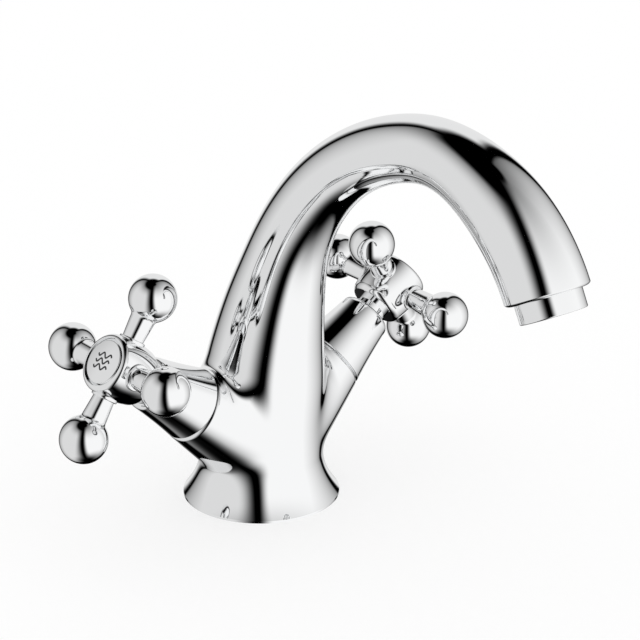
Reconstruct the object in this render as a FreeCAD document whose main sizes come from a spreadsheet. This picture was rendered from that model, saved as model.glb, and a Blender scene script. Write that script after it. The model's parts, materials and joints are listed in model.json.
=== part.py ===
import FreeCAD, Part
import math
import os
import Sketcher

# Deck-mounted basin mixer tap: a one-piece cast body with a swan neck, two
# tilted valve arms, and a cross handle with four ball-ended arms on each.
#
# Frame: +Z up, the spout points along -Y, the hot side is -X and the cold side
# is +X. The origin is the centre of the round base, on the deck.
#
# Each valve has an axis in the plane y = 0 that rises outwards from a foot on
# the tap's own axis. Places along it are distances from that foot.

SIZES = {
    # Base and waist
    "base_radius": 27.5,
    "base_rim_height": 0.8,
    "waist_radius": 21.5,
    "waist_height": 16.0,
    # Neck: four tangent arcs in the plane x = 0, by radius and angle in degrees
    "lean_radius": 206.0,
    "lean_angle": 21.8,
    "bow_radius": 85.9,
    "bow_angle": 57.4,
    "crown_radius": 45.9,
    "crown_angle": 26.2,
    "spout_radius": 59.9,
    "spout_angle": 48.6,
    "neck_slim_radius": 10.9,
    "mouth_radius": 13.5,
    "mouth_edge_radius": 1.9,
    "mouth_edge_overcut": 0.3,
    # Valve arms
    "arm_foot_margin": 3.34,
    "valve_tilt": 35.08,
    "arm_root_inset": 1.2,
    "arm_mouth_radius": 12.9,
    "arm_mouth_place": 38.3,
    "arm_blend_radius": 7.0,
    # Valve sockets in the arms
    "socket_thread_radius": 10.48,
    "socket_thread_length": 11.0,
    "chamber_radius": 9.8,
    "seat_place": 12.3,
    "port_radius": 4.2,
    "port_depth": 6.0,
    "mouth_recess_radius": 11.5,
    "mouth_recess_depth": 1.8,
    # Waterway
    "neck_wall": 3.2,
    "mixing_radius": 9.0,
    "mixing_floor_height": 33.0,
    # Underside of the base
    "boss_radius": 15.2,
    "recess_depth": 8.0,
    "recess_inset": 1.1,
    "gasket_margin": 2.5,
    "gasket_width": 2.6,
    "gasket_thickness": 2.2,
    "inlet_offset": 8.5,
    "inlet_thread_radius": 5.0,
    "inlet_thread_depth": 12.0,
    "inlet_bore_radius": 3.8,
    "inlet_bore_height": 24.0,
    "stud_offset": 9.5,
    "stud_thread_radius": 4.0,
    "stud_thread_depth": 11.0,
    # Aerator in the spout's mouth
    "aerator_radius": 10.7,
    "aerator_show": 6.2,
    "aerator_seat_depth": 8.6,
    "aerator_bore_radius": 9.5,
    "aerator_lip_radius": 8.3,
    "aerator_lip": 1.6,
    "aerator_edge": 0.4,
    "throat_radius": 8.5,
    "aerator_washer_thickness": 1.4,
    "screen_thickness": 0.5,
    "screen_rise": 1.2,
    "insert_hole_radius": 1.4,
    "insert_hole_circle": 6.4,
    "insert_core_hole_circle": 2.9,
    # Headwork, the valve that screws into each arm
    "cage_radius": 9.1,
    "cage_stand_off": 0.3,
    "cage_bore_radius": 8.1,
    "cage_bore_end": 23.6,
    "thread_relief_radius": 9.65,
    "flange_radius": 11.3,
    "flange_thickness": 1.2,
    "hexagon_across_flats": 17.0,
    "hexagon_height": 6.0,
    "barrel_radius": 7.4,
    "barrel_end": 57.0,
    "window_width": 9.0,
    "window_start": 17.4,
    "window_length": 5.2,
    "seat_seal_inner_radius": 4.4,
    "seat_seal_thickness": 1.9,
    "disc_radius": 8.0,
    "disc_thickness": 3.1,
    "disc_port_inner_radius": 1.8,
    "disc_port_outer_radius": 6.4,
    "disc_port_half_angle": 38.0,
    "disc_key_length": 12.8,
    "disc_key_width": 3.0,
    "disc_key_depth": 1.2,
    # Spindle
    "driver_radius": 7.4,
    "spindle_radius": 4.95,
    "spline_radius": 3.95,
    "spindle_end": 70.4,
    "spindle_hole_depth": 9.0,
    "spindle_seal_thickness": 1.6,
    "spindle_seal_depth": 1.1,
    "spindle_seal_place": 33.0,
    "spindle_seal_spacing": 5.0,
    "circlip_groove_radius": 4.1,
    "circlip_radius": 5.9,
    "circlip_thickness": 0.9,
    "circlip_gap_half_angle": 32.0,
    # Shroud over the headwork
    "shroud_top_place": 60.6,
    "shroud_shoulder_place": 58.7,
    "shroud_shoulder_radius": 9.35,
    "shroud_top_radius": 7.4,
    "shroud_rim_inner_radius": 11.5,
    "shroud_inner_radius": 9.3,
    "shroud_opening_radius": 6.1,
    "shroud_collar_start": 50.0,
    "shroud_collar_end": 57.6,
    "shroud_flare_radius": 240.0,
    "shroud_crown_radius": 2.2,
    "shroud_rim_chamfer": 0.35,
    "shroud_flange_clearance": 0.3,
    # Handle hub
    "handle_place": 73.9,
    "hub_front": 7.3,
    "hub_rim_width": 1.0,
    "hub_barrel_start": 6.2,
    "hub_barrel_radius": 10.15,
    "hub_barrel_curve": 32.0,
    "hub_back": 9.8,
    "hub_back_radius": 8.7,
    "hub_back_shoulder": 7.6,
    "hub_back_shoulder_radius": 10.0,
    "hub_rim_curve": 1.3,
    "hub_back_curve": 2.6,
    "hub_boss_radius": 5.6,
    "hub_boss_length": 4.2,
    "index_recess_radius": 8.5,
    "index_recess_depth": 2.1,
    "screw_well_radius": 5.2,
    "screw_seat_place": 1.0,
    # Handle arms
    "handle_arm_length": 25.9,
    "ball_radius": 8.25,
    "arm_stem_root_radius": 3.75,
    "arm_stem_end_radius": 4.3,
    "arm_fillet_radius": 1.6,
    "arm_collar_radius": 4.6,
    "arm_collar_height": 1.3,
    "arm_collar_edge": 0.4,
    "arm_seat_place": 9.7,
    "arm_tenon_radius": 2.5,
    "arm_tenon_length": 3.3,
    # Index cap and handle screw
    "cap_dome": 0.5,
    "cap_edge": 0.35,
    "cap_plug_length": 1.8,
    "screw_head_radius": 4.4,
    "screw_head_height": 3.0,
    "screw_thread_radius": 2.5,
    "screw_length": 11.0,
    "screw_socket_across_flats": 4.0,
    "screw_socket_depth": 2.0,
    # Fits between pieces
    "screw_clearance": 0.05,
    "running_clearance": 0.05,
    "seal_clearance": 0.02,
    # Angle of each handle about its outward axis with the valve closed, degrees
    "hot_handle_angle": 0.0,
    "cold_handle_angle": 13.4,
}

# Height shares of the flare between the base rim and the waist.
FLARE_STATION_SHARES = (0.0, 0.18, 0.4, 0.68)

# Stations along the neck: share of its length, and share of the way from its
# slimmest radius to the waist's radius on the riser.
RISER_STATION_SHARES = (
    (0.0, 1.0),
    (0.06, 0.995),
    (0.125, 0.965),
    (0.185, 0.8),
    (0.25, 0.585),
    (0.31, 0.38),
    (0.375, 0.217),
    (0.44, 0.12),
    (0.51, 0.055),
    (0.58, 0.015),
    (0.65, 0.0),
)

# The same towards the mouth: share of the length, and share of the way from the
# slimmest radius to the mouth's radius.
SPOUT_STATION_SHARES = (
    (0.71, 0.01),
    (0.77, 0.14),
    (0.83, 0.5),
    (0.885, 0.83),
    (0.945, 0.97),
    (1.0, 1.0),
)

# Stretch of the neck that the wide waterway fills, as shares of its length.
WATERWAY_START_SHARE = 0.2
WATERWAY_END_SHARE = 0.93

SIDES = {"hot": -1, "cold": 1}
FULL_TURN = 360
QUARTER_TURN = 90
HANDLE_ARMS = 4
DISC_PORTS = 2
CAGE_WINDOWS = 2
SPINDLE_SEALS = 2
HEXAGON_SIDES = 6
INSERT_OUTER_HOLES = 12
INSERT_INNER_HOLES = 5

# How far a cut runs past the face where it starts.
OVERRUN = 2.0

document = FreeCAD.newDocument("BasinMixerTap")
sheet = document.addObject("Spreadsheet::Sheet", "Size")
for row, (alias, value) in enumerate(SIZES.items(), start=1):
    sheet.set(f"A{row}", alias)
    sheet.set(f"B{row}", str(value))
    sheet.setAlias(f"B{row}", alias)
document.recompute()

AXIS_X = FreeCAD.Vector(1, 0, 0)
AXIS_Z = FreeCAD.Vector(0, 0, 1)


def size(name):
    """Value of a cell of the size sheet."""
    return float(sheet.get(name))


def worked_out(expression):
    """Number that an expression on the size sheet comes to."""
    return float(sheet.evalExpression(expression))


def new_body(label):
    """Empty body whose label names its node and its file."""
    body = document.addObject("PartDesign::Body", label)
    body.Label = label
    return body


def origin_feature(body, role):
    """One of a body's own origin planes or axes, such as XZ_Plane."""
    return next(f for f in body.Origin.OriginFeatures if f.Role == role)


def sketch_on(body, name, role, offset=None):
    """Sketch on an origin plane of its body, moved by an offset within that plane's frame."""
    sketch = body.newObject("Sketcher::SketchObject", name)
    sketch.AttachmentSupport = (origin_feature(body, role), [""])
    sketch.MapMode = "FlatFace"
    if offset is not None:
        sketch.AttachmentOffset = offset
    return sketch


def pin_point(sketch, edge, end, place):
    """Fix one end of an edge, or a circle's centre, at a pair of expressions."""
    for kind, axis, expression in (("DistanceX", -2, place[0]), ("DistanceY", -1, place[1])):
        if expression == "0":
            sketch.addConstraint(Sketcher.Constraint("PointOnObject", edge, end, axis))
            continue
        index = sketch.addConstraint(
            Sketcher.Constraint(kind, -1, 1, edge, end, worked_out(expression))
        )
        sketch.setExpression(f"Constraints[{index}]", expression)


def draw_outline(sketch, corners):
    """Closed outline through corners, in order.

    A corner is (x, y), reached by a straight edge, or (x, y, radius, turn), reached by
    an arc of that radius that turns left (1) or right (-1). All but turn are expressions.
    """
    points = [FreeCAD.Vector(worked_out(c[0]), worked_out(c[1]), 0) for c in corners]
    arrivals = []
    for index, corner in enumerate(corners):
        start = points[index - 1]
        end = points[index]
        if len(corner) == 2:
            edge = sketch.addGeometry(Part.LineSegment(start, end))
            arrivals.append((edge, 1, 2))
            continue
        radius = worked_out(corner[2])
        turn = corner[3]
        chord = end - start
        half = chord.Length / 2
        left = FreeCAD.Vector(-chord.y, chord.x, 0).normalize()
        centre = (start + end) / 2 + left * turn * math.sqrt(radius ** 2 - half ** 2)
        first, last = (start, end) if turn == 1 else (end, start)
        from_angle = math.atan2(first.y - centre.y, first.x - centre.x)
        to_angle = math.atan2(last.y - centre.y, last.x - centre.x)
        if to_angle < from_angle:
            to_angle += 2 * math.pi
        circle = Part.Circle(centre, AXIS_Z, radius)
        edge = sketch.addGeometry(Part.ArcOfCircle(circle, from_angle, to_angle))
        arrivals.append((edge, 1, 2) if turn == 1 else (edge, 2, 1))
        radius_index = sketch.addConstraint(Sketcher.Constraint("Radius", edge, radius))
        sketch.setExpression(f"Constraints[{radius_index}]", corner[2])
    for index, corner in enumerate(corners):
        edge, _, end = arrivals[index]
        following, start, _ = arrivals[(index + 1) % len(corners)]
        sketch.addConstraint(Sketcher.Constraint("Coincident", edge, end, following, start))
        pin_point(sketch, edge, end, corner)


def draw_circle(sketch, radius, place=("0", "0")):
    """Circle of a radius about a place, all expressions."""
    centre = FreeCAD.Vector(worked_out(place[0]), worked_out(place[1]), 0)
    edge = sketch.addGeometry(Part.Circle(centre, AXIS_Z, worked_out(radius)))
    pin_point(sketch, edge, 3, place)
    index = sketch.addConstraint(Sketcher.Constraint("Radius", edge, worked_out(radius)))
    sketch.setExpression(f"Constraints[{index}]", radius)


def draw_polygon(sketch, sides, across_flats):
    """Regular polygon about the sketch's origin, by the distance across its flats."""
    corner_radius = f"({across_flats}) / 2 / cos({FULL_TURN / 2 / sides})"
    corners = []
    for index in range(sides):
        angle = FULL_TURN * (2 * index + 1) / (2 * sides)
        corners.append((f"{corner_radius} * cos({angle})", f"{corner_radius} * sin({angle})"))
    draw_outline(sketch, corners)


def turned(body, name, corners, cut=False, role="XZ_Plane", offset=None):
    """Revolve an outline of (radius, place) corners about its sketch's upright axis."""
    sketch = sketch_on(body, name + "_profile", role, offset)
    draw_outline(sketch, corners)
    kind = "PartDesign::Groove" if cut else "PartDesign::Revolution"
    feature = body.newObject(kind, name)
    feature.Profile = sketch
    feature.ReferenceAxis = (sketch, ["V_Axis"])
    feature.Angle = FULL_TURN
    document.recompute()


def pocket(body, name, sketch, length, outward=False):
    """Cut a sketch into the body against its normal, or along it where outward is set."""
    before = body.Shape.Volume
    feature = body.newObject("PartDesign::Pocket", name)
    feature.Profile = sketch
    feature.setExpression("Length", length)
    feature.Reversed = outward
    document.recompute()
    if body.Shape.Volume >= before:
        raise ValueError(f"{body.Label}.{name} cuts nothing")
    return feature


def pad(body, name, sketch, length, downward=False):
    """Raise a sketch along its normal, or against it where downward is set."""
    feature = body.newObject("PartDesign::Pad", name)
    feature.Profile = sketch
    feature.setExpression("Length", length)
    feature.Reversed = downward
    document.recompute()


def around(body, name, originals, axis, count):
    """Repeat features evenly about an axis, given as an object and its sub-element."""
    pattern = body.newObject("PartDesign::PolarPattern", name)
    pattern.Originals = originals
    pattern.Axis = axis
    pattern.Angle = FULL_TURN
    pattern.Occurrences = count
    body.Tip = pattern
    document.recompute()


def edge_names(shape, wanted):
    """Names of the edges for which wanted(edge, faces beside it) holds."""
    names = []
    for index, edge in enumerate(shape.Edges, start=1):
        if wanted(edge, shape.ancestorsOfType(edge, Part.Face)):
            names.append(f"Edge{index}")
    return names


def rounded(body, name, edges, radius):
    """Fillet named edges of the body's last feature."""
    base = body.Tip
    feature = body.newObject("PartDesign::Fillet", name)
    feature.Base = (base, edges)
    feature.setExpression("Radius", radius)
    document.recompute()


NECK_ARCS = ("lean", "bow", "crown", "spout")


def neck_length():
    """Length of the neck's centre line."""
    return sum(size(f"{arc}_radius") * math.radians(size(f"{arc}_angle")) for arc in NECK_ARCS)


def neck_station(share):
    """Centre of the neck at a share of its length, and its lean from upright in degrees."""
    left = share * neck_length()
    centre = FreeCAD.Vector(0, 0, size("waist_height"))
    lean = 0.0
    for arc in NECK_ARCS:
        radius = size(f"{arc}_radius")
        ahead = lean + min(math.radians(size(f"{arc}_angle")), left / radius)
        step = FreeCAD.Vector(0, math.cos(ahead) - math.cos(lean), math.sin(ahead) - math.sin(lean))
        centre = centre + step * radius
        left -= radius * (ahead - lean)
        lean = ahead
    return centre, math.degrees(lean)


OUTLET, OUTLET_LEAN = neck_station(1.0)
OUTLET_HEADING = FreeCAD.Rotation(AXIS_X, OUTLET_LEAN).multVec(AXIS_Z)


def neck_radius(share, station_share):
    """Outer radius expression of a riser or spout station."""
    ends = "Size.waist_radius" if share <= RISER_STATION_SHARES[-1][0] else "Size.mouth_radius"
    return f"Size.neck_slim_radius + ({ends} - Size.neck_slim_radius) * {station_share}"


def ring_section(body, name, centre, lean, radius):
    """Circle across a centre line in the plane x = 0, for a loft."""
    offset = FreeCAD.Placement(centre, FreeCAD.Rotation(AXIS_X, lean))
    sketch = sketch_on(body, name, "XY_Plane", offset)
    draw_circle(sketch, radius)
    return sketch


def lofted(body, name, sections, cut=False):
    """Smooth skin through ring sections, added or cut."""
    kind = "PartDesign::SubtractiveLoft" if cut else "PartDesign::AdditiveLoft"
    feature = body.newObject(kind, name)
    feature.Profile = sections[0]
    feature.Sections = sections[1:]
    feature.Ruled = False
    document.recompute()


ARM_ROOT_RADIUS = "(Size.waist_radius - Size.arm_root_inset)"
VALVE_FOOT_HEIGHT = f"({ARM_ROOT_RADIUS} * cos(Size.valve_tilt) + Size.arm_foot_margin)"


def valve_axis_offset(side):
    """Offset that lays a sketch's upright axis on XZ_Plane along a valve axis of the casting."""
    lean = FreeCAD.Rotation(AXIS_Z, -SIDES[side] * (QUARTER_TURN - size("valve_tilt")))
    return FreeCAD.Placement(FreeCAD.Vector(0, worked_out(VALVE_FOOT_HEIGHT), 0), lean)


def casting_skin(body):
    """Flared base, waist and swan neck in one skin, down to the spout's mouth."""
    rim = sketch_on(body, "rim_outline", "XY_Plane")
    draw_circle(rim, "Size.base_radius")
    pad(body, "rim", rim, "Size.base_rim_height")
    sections = []
    flare_height = size("waist_height") - size("base_rim_height")
    for index, share in enumerate(FLARE_STATION_SHARES):
        centre = FreeCAD.Vector(0, 0, size("base_rim_height") + share * flare_height)
        spread = (1 - share) ** 2
        radius = f"Size.waist_radius + (Size.base_radius - Size.waist_radius) * {spread}"
        sections.append(ring_section(body, f"flare_ring_{index}", centre, 0, radius))
    for index, (share, station) in enumerate(RISER_STATION_SHARES + SPOUT_STATION_SHARES):
        centre, lean = neck_station(share)
        radius = neck_radius(share, station)
        sections.append(ring_section(body, f"neck_ring_{index}", centre, lean, radius))
    lofted(body, "swan_neck", sections)


def casting_arms(body):
    """The two conical valve arms, blended into the waist and the neck."""
    for side in SIDES:
        cone = [
            ("0", "0"),
            (ARM_ROOT_RADIUS, "0"),
            ("Size.arm_mouth_radius", "Size.arm_mouth_place"),
            ("0", "Size.arm_mouth_place"),
        ]
        turned(body, f"{side}_arm", cone, offset=valve_axis_offset(side))

    def where_arm_leaves(edge, faces):
        kinds = {face.Surface.TypeId for face in faces}
        return kinds == {"Part::GeomCone", "Part::GeomBSplineSurface"}

    rounded(body, "arm_blends", edge_names(body.Shape, where_arm_leaves), "Size.arm_blend_radius")


def casting_sockets(body):
    """A threaded socket, a seat and an inlet port down each valve axis."""
    for side in SIDES:
        socket = [
            ("0", "Size.seat_place - Size.port_depth"),
            ("Size.port_radius", "Size.seat_place - Size.port_depth"),
            ("Size.port_radius", "Size.seat_place"),
            ("Size.chamber_radius", "Size.seat_place"),
            ("Size.chamber_radius", "Size.arm_mouth_place - Size.socket_thread_length"),
            ("Size.socket_thread_radius", "Size.arm_mouth_place - Size.socket_thread_length"),
            ("Size.socket_thread_radius", "Size.arm_mouth_place - Size.mouth_recess_depth"),
            ("Size.mouth_recess_radius", "Size.arm_mouth_place - Size.mouth_recess_depth"),
            ("Size.mouth_recess_radius", f"Size.arm_mouth_place + {OVERRUN}"),
            ("0", f"Size.arm_mouth_place + {OVERRUN}"),
        ]
        turned(body, f"{side}_socket", socket, cut=True, offset=valve_axis_offset(side))


def casting_waterway(body):
    """Mixing chamber over the seats, and the wide way up the neck to the aerator's throat."""
    start, start_lean = neck_station(WATERWAY_START_SHARE)
    mixing = sketch_on(
        body,
        "mixing_outline",
        "XY_Plane",
        FreeCAD.Placement(AXIS_Z * size("mixing_floor_height"), FreeCAD.Rotation()),
    )
    draw_circle(mixing, "Size.mixing_radius")
    mixing_height = start.z - size("mixing_floor_height") + OVERRUN
    pocket(body, "mixing_chamber", mixing, f"{mixing_height}", outward=True)

    sections = []
    for index, (share, station) in enumerate(RISER_STATION_SHARES + SPOUT_STATION_SHARES):
        if not WATERWAY_START_SHARE <= share <= WATERWAY_END_SHARE:
            continue
        centre, lean = neck_station(share)
        radius = f"{neck_radius(share, station)} - Size.neck_wall"
        sections.append(ring_section(body, f"waterway_ring_{index}", centre, lean, radius))
    seat = OUTLET - OUTLET_HEADING * size("aerator_seat_depth")
    throat = ring_section(body, "throat_ring", seat, OUTLET_LEAN, "Size.throat_radius")
    sections.append(throat)
    lofted(body, "waterway", sections, cut=True)

    thread = [
        ("0", f"-Size.aerator_seat_depth - {OVERRUN}"),
        ("Size.throat_radius", f"-Size.aerator_seat_depth - {OVERRUN}"),
        ("Size.throat_radius", "-Size.aerator_seat_depth"),
        ("Size.aerator_radius + Size.screw_clearance", "-Size.aerator_seat_depth"),
        ("Size.aerator_radius + Size.screw_clearance", f"{OVERRUN}"),
        ("0", f"{OVERRUN}"),
    ]
    edge = "Size.mouth_edge_radius"
    edge_reach = "(Size.mouth_radius + Size.mouth_edge_overcut)"
    rounding = [
        (f"{edge_reach} - {edge}", f"{OVERRUN}"),
        (f"{edge_reach} - {edge}", "0"),
        (edge_reach, f"-{edge}", edge, -1),
        (f"Size.mouth_radius + {OVERRUN}", f"-{edge}"),
        (f"Size.mouth_radius + {OVERRUN}", f"{OVERRUN}"),
    ]
    along_outlet = FreeCAD.Placement(
        FreeCAD.Vector(OUTLET.y, OUTLET.z, 0), FreeCAD.Rotation(AXIS_Z, OUTLET_LEAN)
    )
    for name, profile in (("mouth_thread", thread), ("mouth_edge", rounding)):
        turned(body, name, profile, cut=True, role="YZ_Plane", offset=along_outlet)


GASKET_OUTER = "(Size.base_radius - Size.gasket_margin)"
GASKET_INNER = f"({GASKET_OUTER} - Size.gasket_width)"
RECESS_RADIUS = "(Size.waist_radius - Size.recess_inset)"


def casting_underside(body):
    """Hollow base with a central boss, a gasket groove, two inlets and the stud's hole."""
    hollow = [
        ("Size.boss_radius", f"-{OVERRUN}"),
        (RECESS_RADIUS, f"-{OVERRUN}"),
        (RECESS_RADIUS, "Size.recess_depth"),
        ("Size.boss_radius", "Size.recess_depth"),
    ]
    turned(body, "base_hollow", hollow, cut=True)
    groove = [
        (GASKET_INNER, f"-{OVERRUN}"),
        (GASKET_OUTER, f"-{OVERRUN}"),
        (GASKET_OUTER, "Size.gasket_thickness"),
        (GASKET_INNER, "Size.gasket_thickness"),
    ]
    turned(body, "gasket_groove", groove, cut=True)
    inlet_places = [(f"{sign} * Size.inlet_offset", "0") for sign in SIDES.values()]
    holes = [
        ("inlet_thread", inlet_places, "Size.inlet_thread_radius", "Size.inlet_thread_depth"),
        ("inlet_bore", inlet_places, "Size.inlet_bore_radius", "Size.inlet_bore_height"),
        ("stud", [("0", "Size.stud_offset")], "Size.stud_thread_radius", "Size.stud_thread_depth"),
    ]
    for name, places, radius, depth in holes:
        outline = sketch_on(body, f"{name}_outline", "XY_Plane")
        for place in places:
            draw_circle(outline, radius, place)
        pocket(body, f"{name}_hole", outline, depth, outward=True)


def make_casting():
    """The tap's one-piece body."""
    body = new_body("body_casting")
    casting_skin(body)
    casting_arms(body)
    casting_sockets(body)
    casting_waterway(body)
    casting_underside(body)
    return body


def make_base_gasket():
    """Rubber ring that fills the groove under the base, flush with the deck."""
    body = new_body("base_gasket")
    ring = [
        (GASKET_INNER, "0"),
        (GASKET_OUTER, "0"),
        (GASKET_OUTER, "Size.gasket_thickness"),
        (GASKET_INNER, "Size.gasket_thickness"),
    ]
    turned(body, "ring", ring)
    return body


def seat_on_outlet(body):
    """Lay a body's own axis along the outlet, with its origin in the spout's mouth."""
    body.Placement = FreeCAD.Placement(OUTLET, FreeCAD.Rotation(AXIS_X, OUTLET_LEAN))


HOUSING_TOP = "(Size.aerator_washer_thickness - Size.aerator_seat_depth)"
HOUSING_LEDGE = "(Size.aerator_show - Size.aerator_lip)"
INSERT_TOP = f"({HOUSING_TOP} + Size.screen_rise + Size.screen_thickness)"


def make_aerator_washer():
    """Rubber washer between the aerator and its seat in the spout."""
    body = new_body("aerator_washer")
    ring = [
        ("Size.throat_radius", "-Size.aerator_seat_depth"),
        ("Size.aerator_radius", "-Size.aerator_seat_depth"),
        ("Size.aerator_radius", HOUSING_TOP),
        ("Size.throat_radius", HOUSING_TOP),
    ]
    turned(body, "ring", ring)
    seat_on_outlet(body)
    return body


def make_aerator_housing():
    """Threaded sleeve that screws into the spout, with a lip that holds the insert."""
    body = new_body("aerator_housing")
    sleeve = [
        ("Size.aerator_bore_radius", HOUSING_TOP),
        ("Size.aerator_radius", HOUSING_TOP),
        ("Size.aerator_radius", "Size.aerator_show - Size.aerator_edge"),
        ("Size.aerator_radius - Size.aerator_edge", "Size.aerator_show", "Size.aerator_edge", 1),
        ("Size.aerator_lip_radius", "Size.aerator_show"),
        ("Size.aerator_lip_radius", HOUSING_LEDGE),
        ("Size.aerator_bore_radius", HOUSING_LEDGE),
    ]
    turned(body, "sleeve", sleeve)
    seat_on_outlet(body)
    return body


def make_aerator_insert():
    """Flow former: a plug pierced by two rings of channels."""
    body = new_body("aerator_insert")
    radius = "Size.aerator_bore_radius - Size.screw_clearance"
    plug = [("0", INSERT_TOP), (radius, INSERT_TOP), (radius, HOUSING_LEDGE), ("0", HOUSING_LEDGE)]
    turned(body, "plug", plug)
    below = FreeCAD.Placement(AXIS_Z * worked_out(HOUSING_LEDGE), FreeCAD.Rotation())
    rings = [
        ("outer", "Size.insert_hole_circle", INSERT_OUTER_HOLES),
        ("inner", "Size.insert_core_hole_circle", INSERT_INNER_HOLES),
    ]
    for name, circle, count in rings:
        outline = sketch_on(body, f"{name}_channel_outline", "XY_Plane", below)
        draw_circle(outline, "Size.insert_hole_radius", (circle, "0"))
        depth = f"{HOUSING_LEDGE} - {INSERT_TOP} + {OVERRUN}"
        channel = pocket(body, f"{name}_channel", outline, depth)
        around(body, f"{name}_channels", [channel], (outline, ["N_Axis"]), count)
    seat_on_outlet(body)
    return body


def dome_radius(half_width, rise):
    """Radius of an arc by its half width and rise, as expressions."""
    return f"(({half_width}) ^ 2 + ({rise}) ^ 2) / (2 * ({rise}))"


def make_aerator_screen():
    """Domed strainer over the insert, bulging up the waterway."""
    body = new_body("aerator_screen")
    radius = "Size.aerator_bore_radius - Size.screw_clearance"
    curve = dome_radius(radius, "Size.screen_rise")
    dome = [
        ("0", f"{HOUSING_TOP}"),
        (radius, f"{HOUSING_TOP} + Size.screen_rise", curve, 1),
        (radius, INSERT_TOP),
        ("0", f"{HOUSING_TOP} + Size.screen_thickness", curve, -1),
    ]
    turned(body, "dome", dome)
    seat_on_outlet(body)
    return body


def on_valve_axis(body, side, turn="0", along="0", pitch=0):
    """Seat a body on a valve axis: its own +Z outwards, turned, moved along and pitched."""
    tilt = f"{SIDES[side]} * ({QUARTER_TURN} - Size.valve_tilt)"
    foot = f"create(<<vector>>; 0; 0; {VALVE_FOOT_HEIGHT})"
    axis = f"create(<<placement>>; {foot}; create(<<rotation>>; 0; {tilt}; 0))"
    place = f"create(<<vector>>; 0; 0; {along})"
    own = f"create(<<placement>>; {place}; create(<<rotation>>; {turn}; {pitch}; 0))"
    body.setExpression("Placement", f"{axis} * {own}")


CAGE_START = "(Size.seat_place + Size.cage_stand_off)"
FIXED_DISC_START = "(Size.seat_place + Size.seat_seal_thickness)"
MOVING_DISC_START = f"({FIXED_DISC_START} + Size.disc_thickness + Size.seal_clearance)"
DRIVER_START = f"({MOVING_DISC_START} + Size.disc_thickness)"
THREAD_START = "(Size.arm_mouth_place - Size.socket_thread_length)"
FLANGE_TOP = "(Size.arm_mouth_place + Size.flange_thickness)"
SPINDLE_BORE = "(Size.spindle_radius + Size.running_clearance)"


def make_valve_body(side):
    """Headwork: disc cage, G1/2 thread, hexagon and the barrel that the shroud fits."""
    body = new_body(f"{side}_valve_body")
    thread = "Size.socket_thread_radius - Size.screw_clearance"
    skin = [
        ("0", CAGE_START),
        ("Size.cage_radius", CAGE_START),
        ("Size.cage_radius", THREAD_START),
        (thread, THREAD_START),
        (thread, "Size.arm_mouth_place - Size.mouth_recess_depth"),
        ("Size.thread_relief_radius", "Size.arm_mouth_place - Size.mouth_recess_depth"),
        ("Size.thread_relief_radius", "Size.arm_mouth_place"),
        ("Size.flange_radius", "Size.arm_mouth_place"),
        ("Size.flange_radius", FLANGE_TOP),
        ("Size.barrel_radius", FLANGE_TOP),
        ("Size.barrel_radius", "Size.barrel_end"),
        ("0", "Size.barrel_end"),
    ]
    turned(body, "skin", skin)
    flange_face = FreeCAD.Placement(AXIS_Z * worked_out(FLANGE_TOP), FreeCAD.Rotation())
    hexagon = sketch_on(body, "hexagon_outline", "XY_Plane", flange_face)
    draw_polygon(hexagon, HEXAGON_SIDES, "Size.hexagon_across_flats")
    pad(body, "hexagon", hexagon, "Size.hexagon_height")
    bore = [
        ("0", f"{CAGE_START} - {OVERRUN}"),
        ("Size.cage_bore_radius", f"{CAGE_START} - {OVERRUN}"),
        ("Size.cage_bore_radius", "Size.cage_bore_end"),
        (SPINDLE_BORE, "Size.cage_bore_end"),
        (SPINDLE_BORE, f"Size.barrel_end + {OVERRUN}"),
        ("0", f"Size.barrel_end + {OVERRUN}"),
    ]
    turned(body, "bore", bore, cut=True)
    window = sketch_on(body, "window_outline", "XZ_Plane")
    window_end = "Size.window_start + Size.window_length"
    draw_outline(
        window,
        [
            ("-Size.window_width / 2", "Size.window_start"),
            ("Size.window_width / 2", "Size.window_start"),
            ("Size.window_width / 2", window_end),
            ("-Size.window_width / 2", window_end),
        ],
    )
    opening = pocket(body, "window", window, f"Size.cage_radius + {OVERRUN}")
    around(body, "windows", [opening], (hexagon, ["N_Axis"]), CAGE_WINDOWS)
    on_valve_axis(body, side)
    return body


def make_valve_washer(side):
    """O-ring between the headwork's flange and the arm's mouth."""
    body = new_body(f"{side}_valve_washer")
    section = sketch_on(body, "ring_section", "XZ_Plane")
    middle = "(Size.thread_relief_radius + Size.mouth_recess_radius) / 2"
    level = "Size.arm_mouth_place - Size.mouth_recess_depth / 2"
    draw_circle(section, "Size.mouth_recess_depth / 2", (middle, level))
    ring = body.newObject("PartDesign::Revolution", "ring")
    ring.Profile = section
    ring.ReferenceAxis = (section, ["V_Axis"])
    ring.Angle = FULL_TURN
    on_valve_axis(body, side)
    return body


def make_seat_seal(side):
    """Rubber seal between the fixed disc and the seat in the casting."""
    body = new_body(f"{side}_seat_seal")
    outer = "Size.cage_bore_radius - Size.screw_clearance"
    ring = [
        ("Size.seat_seal_inner_radius", "Size.seat_place"),
        (outer, "Size.seat_place"),
        (outer, FIXED_DISC_START),
        ("Size.seat_seal_inner_radius", FIXED_DISC_START),
    ]
    turned(body, "ring", ring)
    on_valve_axis(body, side)
    return body


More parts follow.
